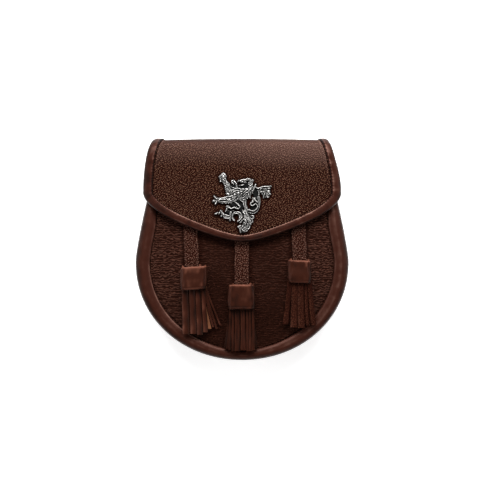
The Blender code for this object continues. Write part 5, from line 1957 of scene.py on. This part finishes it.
    def painted_contact_shadow(self, x: np.ndarray, y: np.ndarray) -> np.ndarray:
        """Painted contact shadow on the leather round the casting, 0 to 1, over points in metres.
        """
        x = (x - self.centre[0]) / self.unit
        y = (y - self.centre[1]) / self.unit
        dark = np.zeros(np.shape(x))
        for limb in self.limbs:
            line = smooth_curve(limb.points, 4)
            gap = np.hypot(x[..., None] - line[:, 0], y[..., None] - line[:, 1]) - line[:, 2]
            dark = np.maximum(dark, 1.0 - ease(gap.min(axis=-1), 0.5, 2.2))
        return dark

    def relief(self, x: np.ndarray, y: np.ndarray) -> np.ndarray:
        """Height of the limbs, in mm, over points in mm."""
        height = np.zeros(np.shape(x))
        for limb in self.limbs:
            line = smooth_curve(limb.points, 8)
            near = np.hypot(x[..., None] - line[:, 0], y[..., None] - line[:, 1]) / line[:, 2]
            dome = limb.height * np.sqrt(np.clip(1.0 - near.min(axis=-1) ** 2, 0.0, 1.0))
            height = np.maximum(height, dome)
        return height

    def ridge(self, line: np.ndarray, low: np.ndarray | float, high: np.ndarray | float) -> Shell:
        """A ridge with round ends along a line.

        Args:
            line: Rows of x, y and half width, in mm.
            low: Height of its flat underside, in mm.
            high: Height of its crest, in mm.

        Returns:
            The ridge in its place on the flap.
        """
        low = np.broadcast_to(low, len(line))
        high = np.broadcast_to(high, len(line))
        along = np.gradient(line[:, :2], axis=0)
        along = along / np.linalg.norm(along, axis=1, keepdims=True)
        last = len(line) - 1
        tip = [(share, max(0.08, (1.0 - share**2) ** 0.5)) for share in (0.5, 0.86, 1.0)]
        # Each section: its place on the line, how far beyond it and how large
        rows = [(0, -share, scale) for share, scale in reversed(tip)]
        rows += [(place, 0.0, 1.0) for place in range(len(line))]
        rows += [(last, share, scale) for share, scale in tip]
        turn = np.linspace(0.0, pi, 9)
        across = np.concatenate([np.cos(turn), [-0.6, 0.6]])
        up = np.concatenate([np.sin(turn) ** 0.8, [-0.02, -0.02]])
        made = []
        for place, beyond, scale in rows:
            way, half = along[place], line[place, 2]
            spot = line[place, :2] + beyond * way * half
            flat = spot + np.array((-way[1], way[0])) * half * scale * across[:, None]
            z = low[place] + (high[place] - low[place]) * scale * up
            made.append(np.column_stack([flat, z]))
        return sweep(np.array(made) * self.unit + (*self.centre, self.base_z))

    def limb(self, limb: Limb) -> Shell:
        """One limb, from the badge's flat back to its crest."""
        return self.ridge(smooth_curve(limb.points, 6), 0.0, limb.height)

    def line(self, line: Line) -> Shell:
        """One raised line or bead, on top of the limb that it lies on."""
        points = np.array(line.points)
        if len(points) == 1:
            points = points + np.array([(-0.02, 0.0), (0.02, 0.0)])
        path = smooth_curve(points, 6)
        base = self.relief(path[:, 0], path[:, 1])
        low = np.maximum(0.2, base - 0.6)
        half = line.half * (0.94 + 0.2 * np.sin(np.linspace(0.0, pi, len(path))))
        return self.ridge(np.column_stack([path, half]), low, np.maximum(base, 1.0) + line.lift)

    def cavity(self, mesh: bpy.types.Mesh) -> np.ndarray:
        """How far each point lies below its surroundings, 0 to 1."""
        count = len(mesh.vertices)
        places = np.empty(count * 3, np.float32)
        mesh.vertices.foreach_get("co", places)
        z = places.reshape(-1, 3)[:, 2].astype(float)
        ends = np.empty(len(mesh.edges) * 2, np.int32)
        mesh.edges.foreach_get("vertices", ends)
        a, b = ends.reshape(-1, 2).T
        degree = np.bincount(a, minlength=count) + np.bincount(b, minlength=count)
        around = z.copy()
        for _ in range(self.cavity_rounds):
            total = np.bincount(a, around[b], count) + np.bincount(b, around[a], count)
            around = 0.35 * around + 0.65 * total / np.maximum(degree, 1)
        low = 1.0 - ease(z - self.base_z, 0.4 * MM, 1.9 * MM)
        return np.clip(0.49 + (around - z) / self.cavity_depth + 0.5 * low, 0.0, 1.0)


@dataclass
class Closure:
    """The press stud that holds the flap to the front."""

    y: float = 32.0 * MM
    radius: float = 6.5 * MM

    def build(self) -> None:
        """Turns the stud's socket, neck and cap."""
        low, high = (corner.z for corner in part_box("snap_stud"))
        # Share of the height and of the radius
        rows = (
            (0.0, 0.1),
            (0.0, 0.9),
            (0.06, 1.0),
            (0.26, 1.0),
            (0.32, 0.9),
            (0.38, 0.62),
            (0.62, 0.6),
            (0.68, 0.88),
            (0.74, 1.0),
            (0.94, 1.0),
            (1.0, 0.9),
            (1.0, 0.1),
        )
        turn = tau * np.arange(48) / 48
        share, radius = np.array(rows).T[:, :, None]
        x = self.radius * radius * np.cos(turn)
        y = self.y + self.radius * radius * np.sin(turn)
        z = np.broadcast_to(low + (high - low) * share, x.shape)
        shell = sweep(np.stack([x, y, z], axis=-1))
        piece = make_piece("press_stud", shell, (Finishes.NICKEL,), sharp=50.0)
        hand_over(piece, Finishes.NICKEL, "snap_stud")


@dataclass
class RingMount:
    """A D-ring in the leather tab that is sewn behind the top of the back."""

    recipes: Recipes
    side: str
    x: float
    bar_y: float = 69.5 * MM
    wire: float = 1.25 * MM
    half_width: float = 11.0 * MM
    corner: float = 3.0 * MM
    bow_y: float = 5.5 * MM
    tab_leather: float = 1.4 * MM
    tab_width: float = 15.0 * MM
    tab_start_y: float = 48.0 * MM

    @property
    def loop_radius(self) -> float:
        """Radius of the tab's loop, to the middle of its leather."""
        return self.wire + GAP + self.tab_leather / 2

    @property
    def loop_z(self) -> float:
        """Height of the ring's bar."""
        return self.loop_radius + self.tab_leather / 2

    def build(self) -> None:
        """Builds and dresses the ring, the tab and the tab's stitches."""
        self.ring()
        self.tab()

    def ring(self) -> None:
        """A D of round wire: a straight bar, small corners and a half-round bow."""
        straight = self.half_width - self.corner
        turn = np.linspace(-pi / 2, 0.0, 9)
        right = self.corner * np.stack([np.cos(turn), 1 + np.sin(turn)], axis=1) + (straight, 0.0)
        turn = np.linspace(0.0, pi, 41)
        bow = self.half_width * np.stack([np.cos(turn), np.sin(turn)], axis=1) + (0.0, self.bow_y)
        path = np.concatenate([right, bow, right[::-1] * (-1.0, 1.0)])
        path = resample(np.concatenate([path, path[:1]]), 121)[:-1]
        along = np.roll(path, -1, axis=0) - np.roll(path, 1, axis=0)
        along = along / np.linalg.norm(along, axis=1, keepdims=True)
        normals = np.stack([along[:, 1], -along[:, 0]], axis=1)
        around = np.tile(tau * np.arange(20) / 20, (len(path), 1))
        wire = sections(path, normals, self.wire * np.cos(around), self.wire * np.sin(around))
        shell = sweep(wire + (self.x, self.bar_y, self.loop_z), closed=True)
        piece = make_piece("ring_" + self.side, shell, (Finishes.NICKEL,))
        hand_over(piece, Finishes.NICKEL, "d_ring_" + self.side)

    def tab(self) -> None:
        """The strap folded round the bar, with both ends sewn to the back panel."""
        upper = POUCH.back_rise - GAP - self.tab_leather / 2
        lower = upper - self.tab_leather - GAP
        turn = np.linspace(pi / 2, -pi / 2 - radians(25), 25)
        loop = self.loop_radius * np.stack([np.cos(turn), np.sin(turn)], axis=1)
        loop = loop + (self.bar_y, self.loop_z)
        start = np.array([(self.tab_start_y, upper), (self.bar_y - 6 * MM, upper)])
        end = np.array([(self.bar_y - 6.6 * MM, lower), (self.tab_start_y, lower)])
        path = np.concatenate([resample(start, 12), loop, resample(end, 12)])
        upper_half = [(1, 0.6), (0.97, 1), (-0.97, 1), (-1, 0.6)]
        lower_half = [(-1, -0.6), (-0.97, -1), (0.97, -1), (1, -0.6)]
        across, lift = np.array(lower_half + upper_half).T
        across = np.tile(self.x + across * self.tab_width / 2, (len(path), 1))
        lift = np.tile(lift * self.tab_leather / 2, (len(path), 1))
        # The path runs in the plane of y and z, so the sections' last number is their x
        band = sections(path, inward_normals(path), lift, across)
        shell = sweep(np.roll(band, 1, axis=2))
        shell.finish_numbers = [1, 0, 1, 1, 1, 0, 1, 1] * (len(path) - 1) + [1, 1]
        finishes = (Finishes.BACK, Finishes.FLESH)
        piece = make_piece("tab_leather_" + self.side, shell, finishes, sharp=50.0)
        hand_over(piece, Finishes.BACK, "ring_tab_" + self.side)
        half = self.tab_width / 2 - 2 * MM
        top = self.bar_y - 9 * MM
        low = self.tab_start_y + 2.5 * MM
        box = np.array([(-half, top), (-half, low), (half, low), (half, top), (-half, top)])
        line = np.pad(resample(box, 160), ((0, 0), (0, 1)))
        line = line + (self.x, 0.0, lower - self.tab_leather / 2)
        seam = Seam("tab_stitches_" + self.side, 2.6 * MM, 1.9 * MM, 0.26 * MM)
        seam.sew(self.recipes.stitches, line, (0.0, 0.0, -1.0))


@dataclass
class Studio:
    """Pale floor, soft light and the camera of the photograph."""

    object_centre: tuple[float, float] = (6.7 * MM, -0.4 * MM)
    frame_width: float = 425.0 * MM
    focus_z: float = 25.0 * MM
    lens: float = 100.0
    sensor: float = 36.0
    floor_half: float = 3.0
    floor_top: float = -0.2 * MM
    sky_strength: float = 0.55
    # Brightness of the sky from the horizon, 0, to overhead, 1
    sky_levels: tuple[tuple[float, float], ...] = (
        (0.0, 1.0),
        (0.3, 0.75),
        (0.65, 0.1),
        (1.0, 0.04),
    )
    # Name, place, size and watts
    lights: tuple[tuple[str, Direction, tuple[float, float], float], ...] = (
        ("key_light", (0.0, 1.0, 0.95), (1.4, 0.5), 36.0),
        ("left_light", (-1.2, 0.1, 0.75), (0.6, 1.0), 4.0),
        ("right_light", (1.2, 0.1, 0.75), (0.6, 1.0), 4.0),
        ("front_light", (0.0, -1.2, 0.75), (1.2, 0.5), 4.0),
    )

    def build(self) -> None:
        """Builds the floor, the lights and the camera."""
        self.floor()
        self.sky()
        for light in self.lights:
            self.softbox(*light)
        self.camera()

    def floor(self) -> None:
        """A wide sheet of paper under the pouch."""
        half, top = self.floor_half, self.floor_top
        corners = [(-half, -half, top), (half, -half, top), (half, half, top), (-half, half, top)]
        upper = np.array(corners)
        shell = sweep(np.stack([upper - (0.0, 0.0, 10 * MM), upper]))
        make_piece("paper_floor", shell, (Finishes.FLOOR,))

    def sky(self) -> None:
        """A surround that is bright at the horizon and dim overhead."""
        world = bpy.data.worlds.new("studio")
        world.use_nodes = True
        world.node_tree.nodes.clear()
        graph = Graph(world.node_tree)
        way = graph.wire("ShaderNodeTexCoord", output="Generated")
        height = graph.wire("ShaderNodeSeparateXYZ", {"Vector": way}, "Z")
        stops = [(place, (level, level, level, 1.0)) for place, level in self.sky_levels]
        inputs = {"Color": graph.ramp(height, stops), "Strength": self.sky_strength}
        light = graph.wire("ShaderNodeBackground", inputs)
        graph.node("ShaderNodeOutputWorld", {"Surface": light})
        bpy.context.scene.world = world
        bpy.context.scene.view_settings.view_transform = "Standard"

    def softbox(
        self, name: str, place: Direction, size: tuple[float, float], watts: float
    ) -> None:
        """A rectangular light turned to the pouch."""
        light = bpy.data.lights.new(name, "AREA")
        light.shape = "RECTANGLE"
        light.size, light.size_y = size
        light.energy = watts
        made = bpy.data.objects.new(name, light)
        made.location = place
        made.rotation_euler = (-Vector(place)).to_track_quat("-Z", "Y").to_euler()
        bpy.context.scene.collection.objects.link(made)

    def camera(self) -> None:
        """A long lens straight above the pouch, as the photograph was taken."""
        lens = bpy.data.cameras.new("camera")
        lens.lens = self.lens
        lens.sensor_width = self.sensor
        lens.clip_start, lens.clip_end = 0.05, 20.0
        made = bpy.data.objects.new("camera", lens)
        distance = self.frame_width * self.lens / self.sensor
        made.location = (*self.object_centre, self.focus_z + distance)
        bpy.context.scene.collection.objects.link(made)
        bpy.context.scene.camera = made


def tassels(recipes: Recipes) -> list[Tassel]:
    """The three tassels, each with its own hang and fringe."""
    left = (
        Strip(-7.8, -6.9, -71.4, 5.7),
        Strip(-2.2, -0.4, -71.0, 5.3),
        Strip(3.0, 5.1, -71.3, 4.7),
        Strip(7.6, 9.6, -70.2, 3.9),
        *even_strips(5, 7.0, 6.4, -69.8, 3.2, 0),
        Strip(5.0, 13.1, -66.9, 3.0, 0, flesh_out=True),
        Strip(8.4, 16.1, -65.6, 1.8, 0, lighter=0.34),
        Strip(9.0, 19.0, -67.4, 1.6, 0, lighter=0.3),
        Strip(9.4, 21.9, -64.0, 1.4, 0, lighter=0.3),
    )
    centre = (
        *even_strips(9, 9.3, 9.9, -85.2, 2.25, 1),
        *even_strips(8, 8.2, 8.6, -84.0, 2.2, 0),
        Strip(-9.2, -14.0, -82.8, 2.0, 0),
        Strip(-8.8, -12.0, -84.2, 2.2, 0),
        Strip(9.0, 12.2, -83.6, 2.0, 0),
    )
    # The outer right strips get painted shade through a negative lighter
    right = (
        Strip(-8.2, -12.1, -63.0, 4.6, 1, lighter=-0.08),
        Strip(-4.1, -4.9, -65.7, 6.0),
        Strip(1.3, 1.7, -65.8, 5.7),
        Strip(5.2, 6.9, -64.3, 2.7),
        Strip(8.3, 12.3, -64.0, 4.4, 1, lighter=-0.1),
        *even_strips(5, 6.6, 10.2, -62.6, 3.0, 0),
    )
    return [
        Tassel(
            recipes,
            "left",
            strap_x=-43.8 * MM,
            head_x=-40.4 * MM,
            head_top=-14.5 * MM,
            head_width=22.0 * MM,
            head_height=19.0 * MM,
            hidden_top=34.0 * MM,
            strips=left,
            seed=60,
            shift=-2.2 * MM,
            head_tone=0.12,
            slant=0.9 * MM,
        ),
        Tassel(
            recipes,
            "centre",
            strap_x=-0.2 * MM,
            head_x=-0.3 * MM,
            head_top=-29.8 * MM,
            head_width=22.4 * MM,
            head_height=20.4 * MM,
            hidden_top=20.0 * MM,
            strips=centre,
            seed=70,
            head_tone=-0.03,
            slant=0.2 * MM,
        ),
        Tassel(
            recipes,
            "right",
            strap_x=47.3 * MM,
            head_x=48.5 * MM,
            head_top=-9.4 * MM,
            head_width=19.4 * MM,
            head_height=18.6 * MM,
            hidden_top=35.0 * MM,
            strips=right,
            seed=80,
            strip_finish=Finishes.STRIP,
            head_tone=-0.02,
            slant=-0.4 * MM,
        ),
    ]


def main() -> None:
    """Builds the pouch and the studio, logging each piece's faces."""
    logging.basicConfig(level=logging.INFO, format="%(name)s %(message)s")
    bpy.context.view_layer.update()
    recipes = Recipes()
    PouchBody(recipes).build()
    Flap(recipes).build()
    for tassel in tassels(recipes):
        tassel.build()
    Badge().build()
    Closure().build()
    for side, way in (("left", -1.0), ("right", 1.0)):
        RingMount(recipes, side, way * 50.0 * MM).build()
    Studio().build()


if __name__ == "__main__":
    main()
